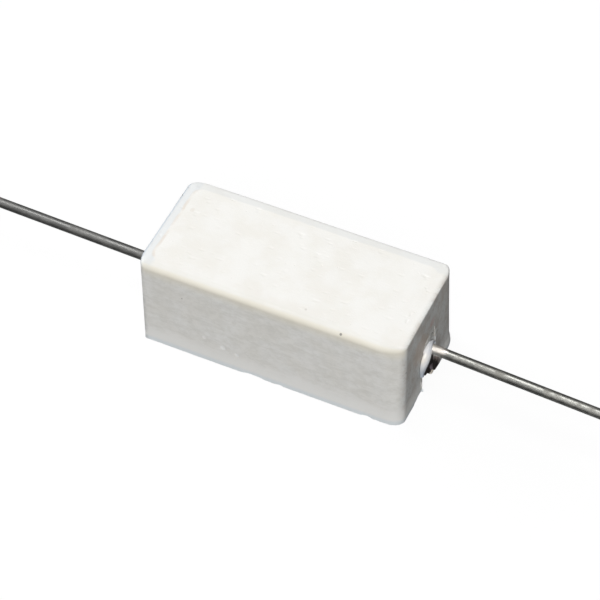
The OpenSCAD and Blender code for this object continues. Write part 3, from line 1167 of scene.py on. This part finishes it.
        # The rim's two rounded edges, and the rounded corner below the roof of the trough
        outer_rim, inner_rim, out = self.rims(outline, foot_corners, inner)
        rim_round = rounded(outer_rim, outline.normal(foot_corners), out, self.rim, self.rim_rows)
        inner_round = rounded(inner_rim, out, -inner_normal, self.rim, self.inner_rim_rows)
        inner_shoulder = self.height - self.roof - self.trough_edge
        angle = np.linspace(0, pi / 2, self.ceiling_rows)
        ceiling = outline.ring(
            self.half_length - self.end_wall,
            self.half_width(inner_shoulder) - self.side_wall,
            inner,
            inner_shoulder + self.trough_edge * np.sin(angle),
            self.trough_edge * (1 - np.cos(angle)),
        )
        return self.closed(outline, np.concatenate([
            bevel,
            edge,
            between(edge[-1], rim_round[0], self.wall_rows),
            rim_round,
            between(rim_round[-1], inner_round[0], self.thickness_rows),
            inner_round,
            between(inner_round[-1], ceiling[0], self.inside_rows),
            ceiling,
        ]))

    def closed(self, outline: Outline, rows: Array) -> Surface:
        """Closes the grid with the flat of the top and the roof of the trough.

        The top is the patch between the four sides of the first ring: each point is the sum of the two
        blends across it, less the blend of its four corners.

        Args:
            outline: The columns' outline.
            rows: The rings of points, rows by columns by three.

        Returns:
            The closed surface.
        """
        count, long, end = outline.count, outline.long + 2 * outline.arc, outline.end + 2 * outline.arc
        body, ring = rows.reshape(-1, 3), rows[0]
        numbers = np.zeros((long + 1, end + 1), int)
        numbers[:, 0] = np.arange(long + 1)
        numbers[long, :] = long + np.arange(end + 1)
        numbers[::-1, end] = long + end + np.arange(long + 1)
        numbers[0, ::-1] = (2 * long + end + np.arange(end + 1)) % count
        numbers[1:-1, 1:-1] = len(body) + np.arange((long - 1) * (end - 1)).reshape(long - 1, end - 1)
        s = np.linspace(0, 1, long + 1)[:, None, None]
        t = np.linspace(0, 1, end + 1)[None, :, None]
        near, far = ring[numbers[:, 0]][:, None], ring[numbers[:, end]][:, None]
        left, right = ring[numbers[0]][None], ring[numbers[long]][None]
        corners = (
            (1 - s) * (1 - t) * ring[numbers[0, 0]]
            + s * (1 - t) * ring[numbers[long, 0]]
            + (1 - s) * t * ring[numbers[0, end]]
            + s * t * ring[numbers[long, end]]
        )
        patch = (1 - t) * near + t * far + (1 - s) * left + s * right - corners
        lid = np.stack([numbers[:-1, :-1], numbers[1:, :-1], numbers[1:, 1:], numbers[:-1, 1:]], axis=-1)
        centre = np.array([[0.0, 0.0, rows[-1, 0, 2]]])
        points = np.concatenate([body, patch[1:-1, 1:-1].reshape(-1, 3), centre])
        roof = fan(np.arange(count) + (len(rows) - 1) * count, len(points) - 1, flip=True)
        return Surface(points, [loop_quads(len(rows), count, flip=True), lid.reshape(-1, 4), roof])

    def wear(self, points: Array) -> Array:
        """Depth of the wear: a slow waver, drag marks on the sides, pits, chips and dents, less the bulge.

        Args:
            points: The surface's points.

        Returns:
            How far each point sinks, in millimetres.
        """
        x, y, z = points.T
        outside = (np.abs(y) > self.half_width(z) - self.side_wall / 2) | (
            np.abs(x) > self.half_length - self.end_wall / 2
        )
        skin = outside | (z > self.height - self.roof / 2)
        side = ease((self.height - self.drag_start - z) / self.wear_fade)
        low = ease((self.chip_height - z) / self.wear_fade)
        waver = sum(waver.at(points) for waver in self.wavers)
        dragged = sum(drag.at(points) for drag in self.drags) * side
        pitted, chipped = self.pits.at(points), self.chips.at(points) * low
        from_bulge = np.linalg.norm((points - self.bulge) / self.bulge_reach, axis=1)
        dents = np.array(self.dents)
        dented = self.dent_depth * craters(points[:, [0, 2]], dents[:, :2], dents[:, 2]) * (y < 0)
        bulged = self.bulge_rise * ease(1.0 + self.bulge_full - from_bulge)
        return np.where(skin, waver + dragged + pitted + chipped + dented - bulged, 0.0)

    def build(self, finish: Material) -> Object:
        """Makes the case and puts it in the CAD node's place.

        Args:
            finish: The ceramic.

        Returns:
            The case.
        """
        skin = self.surface()
        skin.sink(self.wear(skin.points))
        wide = self.foot_half_width
        skin.points[:, 1:] = np.clip(skin.points[:, 1:], [-wide, 0], [wide, self.height])
        return dress(skin.to_object("case_shell"), finish, Slot.CASE, "ceramic_case")


@dataclass
class CementCast:
    """The cement that fills the trough and both slots: a profile carried along X.

    In the trough the profile is the trough's own section, in a slot the slot's. The lower face has
    sunk in the middle and is pitted. In the right slot the cement has drawn back from the near lower
    corner into a slanting hollow.
    """

    shell: CaseShell  # the case that it fills
    exits: dict[Side, Array]  # where each lead's line meets its end wall's face, as [sideways, up]
    gap: float = 0.03
    recess: float = 0.25  # how far the lower face lies above the mouth at the walls
    sink: float = 0.3  # how much further it has sunk in the middle
    set_back: float = 0.15  # how far a plug's face lies behind the end wall's
    face_dish: float = 0.10  # how much further back a plug's face lies away from its walls
    dish_reach: float = 0.5
    face_flush: float = 0.85  # share of all that which is gone above the lead
    face_waver: Waver = Waver(0.05, 0.8, 71, 3, level=0.5)
    waver_reach: float = 0.2
    collar: float = 0.10  # how far the face rises at the lead
    collar_fade: float = 0.15
    hollow_depth: float = 0.85
    hollow_slant: float = radians(41)
    hollow_edge: float = 0.75  # height of the hollow's upper edge in the middle of the slot
    hollow_waver: Waver = Waver(0.2, 0.7, 81, 3, level=0.5)  # how far that edge strays
    drip: tuple[float, float] = (0.80, 0.35)  # a drop at the foot of the right slot, as [sideways, up]
    drip_reach: float = 0.45
    drip_rise: float = 0.25
    drip_slope: float = 1.4  # steepness of its flanks
    drip_foot_slope: float = 1.5  # and where it meets the sill
    wire_radius: float = 0.4
    middle_columns: int = 26
    shoulder_columns: int = 30
    side_columns: int = 12
    top_columns: int = 14
    sink_start: float = 0.05  # how far from a wall the lower face starts to sink
    sink_reach: float = 1.1
    lower_waver: Waver = Waver(0.10, 1.6, 61, 4, level=0.5)
    lower_waver_reach: float = 0.4
    pit_count: int = 150
    pit_radii: tuple[float, float] = (0.07, 0.3)
    pit_shares: tuple[float, float] = (0.4, 1.0)  # of a radius that are kept, to make small pits commoner
    pit_depth: float = 0.6  # of its radius
    pit_reach: float = 0.3  # how far from a wall pits are fully deep
    pit_seed: int = 7
    trough_stations: int = 190
    bend_stations: int = 12
    plug_stations: int = 14
    face_rings: int = 14
    face_centre: tuple[float, float] = (0.0, 2.4)  # as [sideways, up]

    def stations(self) -> tuple[Array, Array]:
        """The trough's stations.

        Returns:
            Their places along X, and the trough's half width at its mouth at each.
        """
        end = self.shell.half_length - self.shell.end_wall - self.gap
        wide = self.shell.foot_half_width - self.shell.side_wall - self.gap
        corner = self.shell.trough_corner - self.gap
        angle = np.linspace(pi / 2, 0, self.bend_stations, endpoint=False)
        bend, bend_width = end - corner + corner * np.sin(angle), wide - corner + corner * np.cos(angle)
        middle = np.linspace(-(end - corner), end - corner, self.trough_stations)
        x = np.concatenate([-bend, middle, bend[::-1]])
        return x, np.concatenate([bend_width, np.full_like(middle, wide), bend_width[::-1]])

    def lower_face(self, x: Array, y: Array, wide: Array) -> Array:
        """Height of the cement's lower face: it climbs the walls, has sunk away from them and is pitted.

        Args:
            x: Places along X.
            y: Places across.
            wide: Half the width of the space there.

        Returns:
            Heights above the mouth.
        """
        end = self.shell.half_length - self.shell.end_wall
        from_end = np.maximum(end - np.abs(x), self.shell.slot_radius - np.abs(y))
        from_wall = np.minimum(wide - np.abs(y), from_end)
        places = np.stack([x, y, np.zeros_like(x)], axis=-1)
        random = np.random.default_rng(self.pit_seed)
        centres = random.uniform([-end, -wide.max()], [end, wide.max()], (self.pit_count, 2))
        radii = random.uniform(*self.pit_radii, self.pit_count)
        radii = radii * random.uniform(*self.pit_shares, self.pit_count)
        pits = self.pit_depth * craters(places[..., :2], centres, radii) * ease(from_wall / self.pit_reach)
        rough = self.lower_waver.at(places) * ease(from_wall / self.lower_waver_reach)
        sunk = self.sink * ease((from_wall - self.sink_start) / self.sink_reach)
        return self.recess + sunk + rough + pits

    def section(self, wide: Array, x: Array) -> Array:
        """Profiles in the trough: along the lower face, up one wall, over the roof and down the other.

        Args:
            wide: Half the width of the trough's mouth at each station.
            x: Place of each station.

        Returns:
            Stations by points by three.
        """
        shell, r = self.shell, self.shell.slot_radius - self.gap
        roof = shell.height - shell.roof - self.gap
        lean = shell.flare * roof / shell.height
        middle = np.linspace(-1, 1, self.middle_columns, endpoint=False) * r
        out, up = (np.linspace(0, 1, n, endpoint=False) for n in (self.shoulder_columns, self.side_columns))
        over = np.linspace(1, -1, self.top_columns, endpoint=False)
        wide, x = wide[:, None], x[:, None]
        y = np.concatenate([
            middle + np.zeros_like(wide),
            r + (wide - r) * out,
            wide - lean * up,
            (wide - lean) * over,
            -(wide - lean) - lean * up,
            -(wide - (wide - r) * out),
        ], axis=1)
        across = x + np.zeros_like(y)
        z = self.lower_face(across, y, wide + np.zeros_like(y))
        climb = (roof - self.recess) * up
        wall, last = np.concatenate([self.recess + climb, np.full_like(over, roof), roof - climb]), -len(out)
        z[:, last - len(wall) : last] = wall
        return np.stack([across, y, z], axis=-1)

    def plug_outline(self, side: Side) -> Array:
        """The slot's profile with as many points as the trough's: its sill, a jamb, the arch, a jamb.

        Args:
            side: The end.

        Returns:
            Points as [sideways, up].
        """
        r, axis = self.shell.slot_radius - self.gap, self.shell.axis_height
        foot = self.gap if side is Side.RIGHT else self.recess
        sill = np.linspace(-r, r, self.middle_columns, endpoint=False)
        rise = np.linspace(foot, axis, self.shoulder_columns, endpoint=False)
        arch = np.linspace(0, pi, 2 * self.side_columns + self.top_columns, endpoint=False)
        fall = np.linspace(axis, self.recess, self.shoulder_columns, endpoint=False)
        height = self.lower_face(np.full_like(sill, self.shell.half_length), sill, np.full_like(sill, r))
        if side is Side.RIGHT:
            slope = self.drip_foot_slope
            low = ease(slope - slope * np.abs(sill - self.drip[0]) / self.drip_reach)
            height = height + (foot - height) * low
        return np.concatenate([
            np.column_stack([sill, height]),
            np.column_stack([np.full_like(rise, r), rise]),
            np.column_stack([r * np.cos(arch), axis + r * np.sin(arch)]),
            np.column_stack([np.full_like(fall, -r), fall]),
        ]) + [self.shell.slot_shifts[side is Side.RIGHT], 0]

    def plug_face(self, side: Side, y: Array, z: Array) -> Array:
        """How far out along X the face of a plug lies: sunk in the middle, and raised round the lead.

        The hollow is a round groove: the root of its squared depth less the squared distance from its
        middle line, which slants across the slot.

        Args:
            side: The end.
            y: Places across.
            z: Heights.

        Returns:
            Distances from the middle of the case.
        """
        shell, (exit_side, exit_up) = self.shell, self.exits[side]
        shift = shell.slot_shifts[side is Side.RIGHT]
        from_arch = shell.slot_radius - np.hypot(y - shift, np.maximum(z - shell.axis_height, 0))
        from_wire = np.hypot(y - exit_side, z - exit_up) - self.wire_radius
        places = np.stack([np.full_like(y, side.value * shell.half_length), y, z], axis=-1)
        behind = self.set_back + self.face_dish * ease(from_arch / self.dish_reach)
        behind = behind * (1 - self.face_flush * ease((z - exit_up) / self.dish_reach))
        rough = self.face_waver.at(places) * ease(from_arch / self.waver_reach)
        face = shell.half_length - behind + rough
        face = face + self.collar * np.exp(-np.maximum(from_wire, 0) / self.collar_fade)
        if side is Side.RIGHT:
            above = cos(self.hollow_slant) * y + sin(self.hollow_slant) * (z - self.hollow_edge)
            reach = above + self.hollow_depth + self.hollow_waver.at(places)
            deep = np.sqrt(np.maximum(self.hollow_depth**2 - reach**2, 0))
            from_drip = np.hypot(y - self.drip[0], z - self.drip[1]) / self.drip_reach
            rise = self.drip_rise * ease(self.drip_slope - self.drip_slope * from_drip)
            face = np.minimum(face, shell.half_length - deep) + rise
        return face

    def plug(self, side: Side, shoulder: Array) -> tuple[Array, Array]:
        """Profiles of a plug, from the trough's end out to its face and in to the face's middle.

        Args:
            side: The end.
            shoulder: The trough's last profile there.

        Returns:
            Stations by points by three, outwards, and the middle point of the face.
        """
        ring, centre = self.plug_outline(side), np.array(self.face_centre)
        y, z = ring.T
        start = np.abs(shoulder[0, 0])
        x = start + (self.plug_face(side, y, z) - start) * np.linspace(0, 1, self.plug_stations)[:, None]
        walls = np.stack([x, np.broadcast_to(y, x.shape), np.broadcast_to(z, x.shape)], axis=-1)
        share = np.linspace(1, 0, self.face_rings + 2)[1:-1, None, None]
        flat = centre + (ring - centre) * share
        face = np.concatenate([self.plug_face(side, flat[..., 0], flat[..., 1])[..., None], flat], axis=-1)
        middle = np.array([self.plug_face(side, centre[:1], centre[1:])[0], *centre])
        mirror = [side.value, 1, 1]
        return np.concatenate([walls, face]) * mirror, middle * mirror

    def build(self, finish: Material) -> Object:
        """Makes the cement and puts it in the CAD node's place.

        Args:
            finish: The cast cement.

        Returns:
            The cement.
        """
        x, wide = self.stations()
        trough = self.section(wide, x)
        left, left_middle = self.plug(Side.LEFT, trough[0])
        right, right_middle = self.plug(Side.RIGHT, trough[-1])
        cast = carried(np.concatenate([left[::-1], trough, right]), left_middle, right_middle)
        piece = cast.to_object("cement_cast", sharp_angle=radians(60))
        return dress(piece, finish, Slot.CEMENT, "cement_filling")


@dataclass
class CementBead:
    """The bead of cement round the right lead: a round bar of changing radius, closed by half balls.

    Its middle runs on one smooth curve through five places, and its radius follows the same curve.
    """

    shell: CaseShell  # the case that it lies on
    root: Array  # where the right lead's line meets the face of the end wall
    gap: float = 0.03
    stand: float = 0.1  # how far its middle stands out from that face
    blobs: tuple[Spot, ...] = (  # sideways and up from the root, and the radius
        (0.78, -0.16, 0.12),
        (-0.06, 0.38, 0.26),
        (-0.90, -0.02, 0.46),
        (-1.37, -0.80, 0.35),
        (-1.46, -1.66, 0.20),
    )
    waver: Waver = Waver(0.04, 0.6, 91, 2)
    columns: int = 56
    cap_rows: int = 12
    rows: int = 60

    def path(self, s: Array) -> Array:
        """The curve through the blobs: each times a product that is one there and nothing at the others.

        Args:
            s: Places on the curve, 0 at the first blob and 1 more at each.

        Returns:
            Sideways, up and radius at each place.
        """
        total = np.zeros((len(s), 3))
        for i, blob in enumerate(self.blobs):
            others = [j for j in range(len(self.blobs)) if j != i]
            total += np.prod([(s - j) / (i - j) for j in others], axis=0)[:, None] * np.array(blob)
        return total

    def build(self, finish: Material) -> Object:
        """Makes the bead, which stands for the same CAD node as the cast cement.

        Args:
            finish: The glossy cement.

        Returns:
            The bead.
        """
        quarter = np.linspace(0, pi / 2, self.cap_rows + 2)[1:-1]
        lean = np.concatenate([-quarter[::-1], np.zeros(self.rows), quarter])[:, None]
        ends = [self.cap_rows, self.cap_rows + self.rows - 1]
        s = np.interp(np.arange(len(lean)), ends, [0, len(self.blobs) - 1])
        place, step, blank = self.path(s), 1e-3, np.zeros(len(s))
        ahead = self.path(s + step)[:, :2] - self.path(s - step)[:, :2]
        tangent = np.column_stack([blank, ahead / np.linalg.norm(ahead, axis=1, keepdims=True)])
        outward = np.array([1.0, 0.0, 0.0])
        sideways = np.cross(tangent, outward)[:, None]
        middle = self.root + np.column_stack([blank + self.stand, place[:, :2]])
        radius = place[:, 2:]
        angle = np.linspace(0, 2 * pi, self.columns, endpoint=False)[:, None]
        ring = outward * np.cos(angle) + sideways * np.sin(angle)
        centre = middle + tangent * radius * np.sin(lean)
        stations = centre[:, None] + ring * (radius * np.cos(lean))[:, None]
        bead = carried(stations, middle[0] - tangent[0] * radius[0], middle[-1] + tangent[-1] * radius[-1])
        bead.sink(self.waver.at(bead.points))
        x, y = bead.points[:, 0], bead.points[:, 1]
        over_wall = np.abs(y - self.shell.slot_shifts[1]) > self.shell.slot_radius - self.gap
        bead.points[:, 0] = np.where(over_wall, np.maximum(x, self.shell.half_length + self.gap), x)
        piece = bead.to_object("cement_bead", sharp_angle=radians(80))
        return dress(piece, finish, Slot.CEMENT, "cement_filling")


@dataclass
class LeadWire:
    """A tinned lead: a circle carried along the wire's path, from its weld on the cap to its free end.

    The path is straight at first, and each bend adds a slope that comes in softly: nothing before the
    bend, a parabola over a short stretch round it, and a straight line after it.
    """

    side: Side
    cap_face: float  # distance of the cap's face from the middle of the case
    tip: float  # distance of the free end
    exit: Array  # where the free stretch's line meets the end wall's face, as [out, sideways, up]
    slope: Array  # that line's sideways and upward slope for each millimetre outwards
    axis_height: float
    radius: float = 0.4
    weld_radius: float = 0.75
    root: float = 0.5  # from the cap's face to the first bend
    bend_reach: float = 0.65  # from the end wall's face to the second
    bend_half: float = 0.5  # half the length of a bend
    bevel: float = 0.09  # length of the free end's bevel
    bevel_depth: float = 0.07
    dents: Waver = Waver(0.006, (2.5, 0.5, 0.5), 101)  # of a straight wire, with a seed for each side
    columns: int = 40
    weld_rows: int = 8
    root_reach: float = 4.0  # how far outside the case the rows lie closer
    root_rows: int = 90
    rows: int = 300
    bevel_rows: int = 6

    def soft_ramp(self, t: Array) -> Array:
        """Nothing below minus the half bend, t above it, and a parabola between."""
        h = self.bend_half
        return np.where(t > h, t, np.clip(t + h, 0, None) ** 2 / (4 * h))

    def path(self, out: Array) -> Array:
        """The path of the wire's middle.

        Args:
            out: Distances out from the middle of the case.

        Returns:
            The places there.
        """
        first = self.cap_face + self.root
        second = self.exit[0] + self.bend_reach
        at_bend = self.exit[1:] + self.bend_reach * self.slope
        inner = (at_bend - [0.0, self.axis_height]) / (second - first)
        inner_run, outer_run = self.soft_ramp(out - first), self.soft_ramp(out - second)
        off = inner_run[:, None] * inner + outer_run[:, None] * (self.slope - inner)
        return np.column_stack([out * self.side.value, off[:, 0], self.axis_height + off[:, 1]])

    def build(self, finish: Material) -> Object:
        """Makes the lead and puts it in the CAD node's place.

        Args:
            finish: The tinned wire.

        Returns:
            The lead.
        """
        weld, near = self.cap_face + self.weld_radius - self.radius, self.exit[0] + self.root_reach
        out = np.unique(np.concatenate([
            np.linspace(self.cap_face, weld, self.weld_rows),
            np.linspace(weld, near, self.root_rows),
            np.linspace(near, self.tip - self.bevel, self.rows),
            self.tip - self.bevel * (1 - np.sin(np.linspace(0, pi / 2, self.bevel_rows))),
        ]))
        middle = self.path(out)
        tangent = np.gradient(middle, out, axis=0)
        tangent /= np.linalg.norm(tangent, axis=1, keepdims=True)
        level = np.cross(tangent, [0.0, 0.0, 1.0])
        level /= np.linalg.norm(level, axis=1, keepdims=True)
        upright = np.cross(level, tangent)
        angle = np.linspace(0, 2 * pi, self.columns, endpoint=False)
        flared = np.maximum(self.radius, self.weld_radius - (out - self.cap_face))
        into_bevel = np.clip((out - (self.tip - self.bevel)) / self.bevel, 0, 1)
        radius = (flared - self.bevel_depth * (1 - np.sqrt(1 - into_bevel**2)))[:, None]
        along = np.broadcast_to(out[:, None], (len(out), self.columns))
        straight = np.stack([along, radius * np.cos(angle), radius * np.sin(angle)], axis=-1)
        dents = replace(self.dents, seed=self.dents.seed + self.side.value).at(straight)
        ring = level[:, None] * np.cos(angle)[:, None] + upright[:, None] * np.sin(angle)[:, None]
        stations = middle[:, None] + ring * (radius - dents)[..., None]
        name = self.side.name.lower()
        wire = carried(stations, middle[0], middle[-1], flip=self.side is Side.LEFT)
        piece = wire.to_object("lead_wire_" + name)
        place = np.concatenate([straight.reshape(-1, 3), [[out[0], 0, 0], [out[-1], 0, 0]]])
        attribute = piece.data.attributes.new(STRAIGHTENED, "FLOAT_VECTOR", "POINT")
        attribute.data.foreach_set("vector", place.astype(np.float32).ravel())
        return dress(piece, finish, Slot.LEAD, "lead_" + name)


def dress(piece: Object, finish: Material, slot: Slot, node: str) -> Object:
    """Gives a new piece its finish, hangs it on the root body and hides the CAD node that it stands for.

    Args:
        piece: The new piece.
        finish: Its material.
        slot: The record's slot for the piece; not used.
        node: The CAD node that it stands for.

    Returns:
        The piece.
    """
    piece.data.materials.append(finish)
    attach(piece, "root")
    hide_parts(node)
    log.info("%s: %d faces", piece.name, len(piece.data.polygons))
    return piece


@dataclass
class Element:
    """The wound rod and its caps, sealed in the cement: CAD nodes that keep their shape."""

    nodes: dict[str, Object]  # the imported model's objects by name

    def build(self, finishes: dict[str, Material]) -> None:
        """Puts a finish on each node.

        Args:
            finishes: The finish for each node's name.
        """
        for name, finish in finishes.items():
            self.nodes[name].data.materials.clear()
            self.nodes[name].data.materials.append(finish)
            log.info("%s: %s", name, finish.name)


# The studio


def towards(azimuth: float, elevation: float) -> Vector:
    """A direction from its angle round Z, from the front towards +X, and its angle above the horizon."""
    level = cos(elevation)
    return Vector((sin(azimuth) * level, -cos(azimuth) * level, sin(elevation)))


@dataclass
class SoftLight:
    """A square soft light that points at the object."""

    name: str
    azimuth: float  # in degrees
    elevation: float
    watts: float
    colour: Spot = (1.0, 1.0, 1.0)
    distance: float = 0.6  # in metres, and so is its size
    size: float = 0.36

    def build(self, aim: Vector) -> None:
        """Makes the light and points it.

        Args:
            aim: The point that it shines on.
        """
        lamp = bpy.data.lights.new(self.name, "AREA")
        lamp.shape = "SQUARE"
        lamp.size = self.size
        lamp.energy = self.watts
        lamp.color = self.colour
        made = linked(self.name, lamp)
        back = towards(radians(self.azimuth), radians(self.elevation))
        made.location = aim + back * self.distance
        made.rotation_euler = back.to_track_quat("Z", "Y").to_euler()


@dataclass
class Studio:
    """A plain pale floor, soft lights, and the camera at the photograph's angle."""

    height: float  # of the case, and the camera aims at half of it
    lights: tuple[SoftLight, ...] = (
        SoftLight("key_light", 25, 50, 1.94),
        SoftLight("side_light", -105, 20, 2.34),
        SoftLight("front_light", 15, 22, 0.50),
        SoftLight("top_light", -120, 85, 1.34),
        SoftLight("under_light", -20, -84, 2.0, (0.95, 0.98, 1.0)),
    )
    ambient: float = 0.045  # strength of the surround
    ambient_mirrored: float = 0.16  # its strength in a mirror
    floor_seen: Colour = (0.09, 0.09, 0.09, 1.0)  # paint where the camera sees it
    floor_glow: float = 0.92  # light of its own there
    floor_bounce: Spot = (0.20, 0.20, 0.205)  # paint for light that bounces
    floor_mirrored: float = 0.3  # share of that in a mirror
    floor_size: float = 6.0  # in metres
    floor_fade: tuple[float, float] = (0.05, 0.40)  # from the middle to where it starts and ends, in metres
    azimuth: float = radians(27.267)  # of the camera as seen from the object
    elevation: float = radians(50.126)
    roll: float = radians(-2.381)
    distance: float = 197.60
    centre_x: float = 295.94  # where the camera's axis meets the picture, in its pixels
    centre_y: float = 300.23
    focal: float = 2600.0  # in the picture's pixels
    picture: float = 600.0  # the picture's width in pixels
    sensor: float = 36.0
    clip: tuple[float, float] = (0.01, 20.0)  # nearest and furthest that the camera sees, in metres

    def floor(self) -> None:
        """The floor: near white where the camera sees it, darker for light that bounces and darkest in
        a mirror, clear from below and fading to clear with distance."""
        half = self.floor_size / 2
        corners = [(-half, -half, 0), (half, -half, 0), (half, half, 0), (-half, half, 0)]
        mesh = bpy.data.meshes.new("floor")
        mesh.from_pydata(corners, [], [(0, 1, 2, 3)])
        made = linked("floor", mesh)
        material = bpy.data.materials.new("pale_floor")
        material.use_nodes = True
        graph, nodes = Graph(material.node_tree), material.node_tree.nodes
        nodes.remove(nodes["Principled BSDF"])
        path, ground = graph.outputs("LightPath"), graph.outputs("NewGeometry")
        seen = path["Is Camera Ray"]
        kept = path["Is Glossy Ray"].step(0.0, 1.0, 1.0, self.floor_mirrored)
        bounce = graph.add("VectorMath", {0: self.floor_bounce, "Scale": kept}, operation="SCALE")
        paper = graph.add("BsdfDiffuse", {"Color": graph.mix(seen, bounce, self.floor_seen)})
        lit = graph.add("AddShader", (paper, graph.add("Emission", {"Strength": seen * self.floor_glow})))
        away = graph.vector("LENGTH", ground["Position"], output="Value").step(*self.floor_fade)
        hidden = graph.maths("MAXIMUM", ground["Backfacing"], path["Is Shadow Ray"])
        clear = graph.maths("MAXIMUM", hidden, away)
        mixed = graph.add("MixShader", (clear, lit, graph.add("BsdfTransparent")))
        graph.feed(nodes["Material Output"].inputs["Surface"], mixed)
        mesh.materials.append(material)

    def world(self) -> None:
        """A dim even surround that the camera sees as white, and that is brighter in a mirror."""
        world = bpy.data.worlds.new("surround")
        bpy.context.scene.world = world
        world.use_nodes = True
        graph = Graph(world.node_tree)
        path, surround = graph.outputs("LightPath"), world.node_tree.nodes["Background"]
        ambient = path["Is Glossy Ray"].step(0.0, 1.0, self.ambient, self.ambient_mirrored)
        graph.feed(surround.inputs["Strength"], path["Is Camera Ray"].step(0.0, 1.0, ambient, 1.0))
        graph.feed(surround.inputs["Color"], (1.0, 1.0, 1.0, 1.0))

    def camera(self) -> None:
        """The scene's camera, from the angles, distance and picture centre that fit the photograph."""
        back = towards(self.azimuth, self.elevation)
        level = Vector((0, 0, 1)).cross(back).normalized()
        upright = back.cross(level)
        right = level * cos(self.roll) + upright * sin(self.roll)
        up = upright * cos(self.roll) - level * sin(self.roll)
        middle = self.picture / 2
        shift_right = (middle - self.centre_x) / self.focal * self.distance
        shift_up = (self.centre_y - middle) / self.focal * self.distance
        place = Vector((0, 0, self.height / 2)) + back * self.distance + right * shift_right + up * shift_up
        lens = bpy.data.cameras.new("camera")
        lens.sensor_width = self.sensor
        lens.lens = self.focal / self.picture * self.sensor
        lens.clip_start, lens.clip_end = self.clip
        made = linked("camera", lens)
        made.matrix_world = Matrix.Translation(place * MM) @ Matrix((right, up, back)).transposed().to_4x4()
        bpy.context.scene.camera = made

    def build(self) -> None:
        """Makes the floor, the surround, the lights and the camera."""
        bpy.context.scene.view_settings.view_transform = "Standard"
        self.floor()
        self.world()
        for light in self.lights:
            light.build(Vector((0, 0, self.height / 2 * MM)))
        self.camera()
        log.info("studio: floor, surround, lights and camera")


def millimetres(corner: Vector) -> Array:
    """A corner in metres as an array in millimetres."""
    return np.array(corner) / MM


def lead_line(record: dict, side: Side, face: float) -> tuple[Array, Array]:
    """The line of a lead's free stretch, from the mount in the record.

    Args:
        record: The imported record.
        side: The lead's end.
        face: Distance of the end wall's face from the middle of the case.

    Returns:
        Where the line meets the face, as [out, sideways, up], and its two slopes for each millimetre out.
    """
    name = "lead_" + side.name.lower()
    mount = next(m for m in record["mounts"] if m["name"] == name)
    place, axis = np.array(mount["pos_m"]) / MM, np.array(mount["axis"])
    slope = axis[1:] / abs(axis[0])
    return np.array([face, *(place[1:] - slope * (abs(place[0]) - face))]), slope


def make_finishes(shell: CaseShell) -> dict[str, Material]:
    """Builds every finish.

    Args:
        shell: The case, for the sizes that its finish follows.

    Returns:
        The materials by the names of the pieces that they are for.
    """
    effects = Effects()
    tinned = DrawnMetal("tinned_wire", bump=0.004, straightened=True)
    # Painted highlight: a warm pale patch on top of the right lead's root
    pale_patch = (Mark((11.5, 0.0, 0.4), 1.1, tone(252, 246, 238), 0.85),)
    made = {
        "case": CaseCeramic(
            "case_ceramic",
            bump=0.016,
            height=shell.height,
            half_length=shell.half_length,
            half_width=float(shell.half_width(shell.height)),
            frame_width=shell.bevel_width,
        ),
        "cast": CastCement("cast_cement", bump=0.03),
        "bead": GlossyCement("glossy_cement", coat=0.6, coat_roughness=0.08, bump=0.006),
        "lead_left": replace(
            tinned, name="tinned_wire_dulled", body=tone(160, 160, 158), dull=tone(114, 113, 110), smooth=0.36
        ),
        "lead_right": replace(tinned, pale_patch=pale_patch, patch=1.1, body=tone(166, 166, 161), smooth=0.32),
        "core_rod": RodCeramic("rod_ceramic"),
        "resistance_winding": DrawnMetal(
            "resistance_wire", tone(150, 138, 124), bump=0.003, dull=tone(96, 84, 72), smooth=0.35, patch=0.3
        ),
        "end_caps": DrawnMetal(
            "cap_steel", tone(150, 146, 140), bump=0.004, dull=tone(98, 88, 82), smooth=0.3, lines=4.0
        ),
    }
    return {name: finish.build(effects) for name, finish in made.items()}


def main() -> None:
    """Builds the resistor and the studio."""
    logging.basicConfig(level=logging.INFO, format="%(name)s %(message)s")
    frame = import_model()

    half_length, foot_half_width, height = millimetres(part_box("ceramic_case")[1])
    shell = CaseShell(half_length, foot_half_width, height)
    cap_face = millimetres(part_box("end_cap_right")[1])[0]
    lines = {side: lead_line(frame["record"], side, shell.half_length) for side in Side}
    made = make_finishes(shell)

    shell.build(made["case"])
    CementCast(shell, {side: line[0][1:] for side, line in lines.items()}).build(made["cast"])
    CementBead(shell, lines[Side.RIGHT][0]).build(made["bead"])
    tip_gap = 0.02
    for side, line in lines.items():
        ends = [abs(millimetres(corner)[0]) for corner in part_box("lead_" + side.name.lower())]
        lead = LeadWire(side, cap_face, max(ends) - tip_gap, *line, shell.axis_height)
        lead.build(made["lead_" + side.name.lower()])
    inside = {name: made[name] for name in ("core_rod", "resistance_winding")}
    Element(frame["nodes"]).build(inside | dict.fromkeys(("end_cap_left", "end_cap_right"), made["end_caps"]))
    Studio(shell.height).build()


if __name__ == "__main__":
    main()
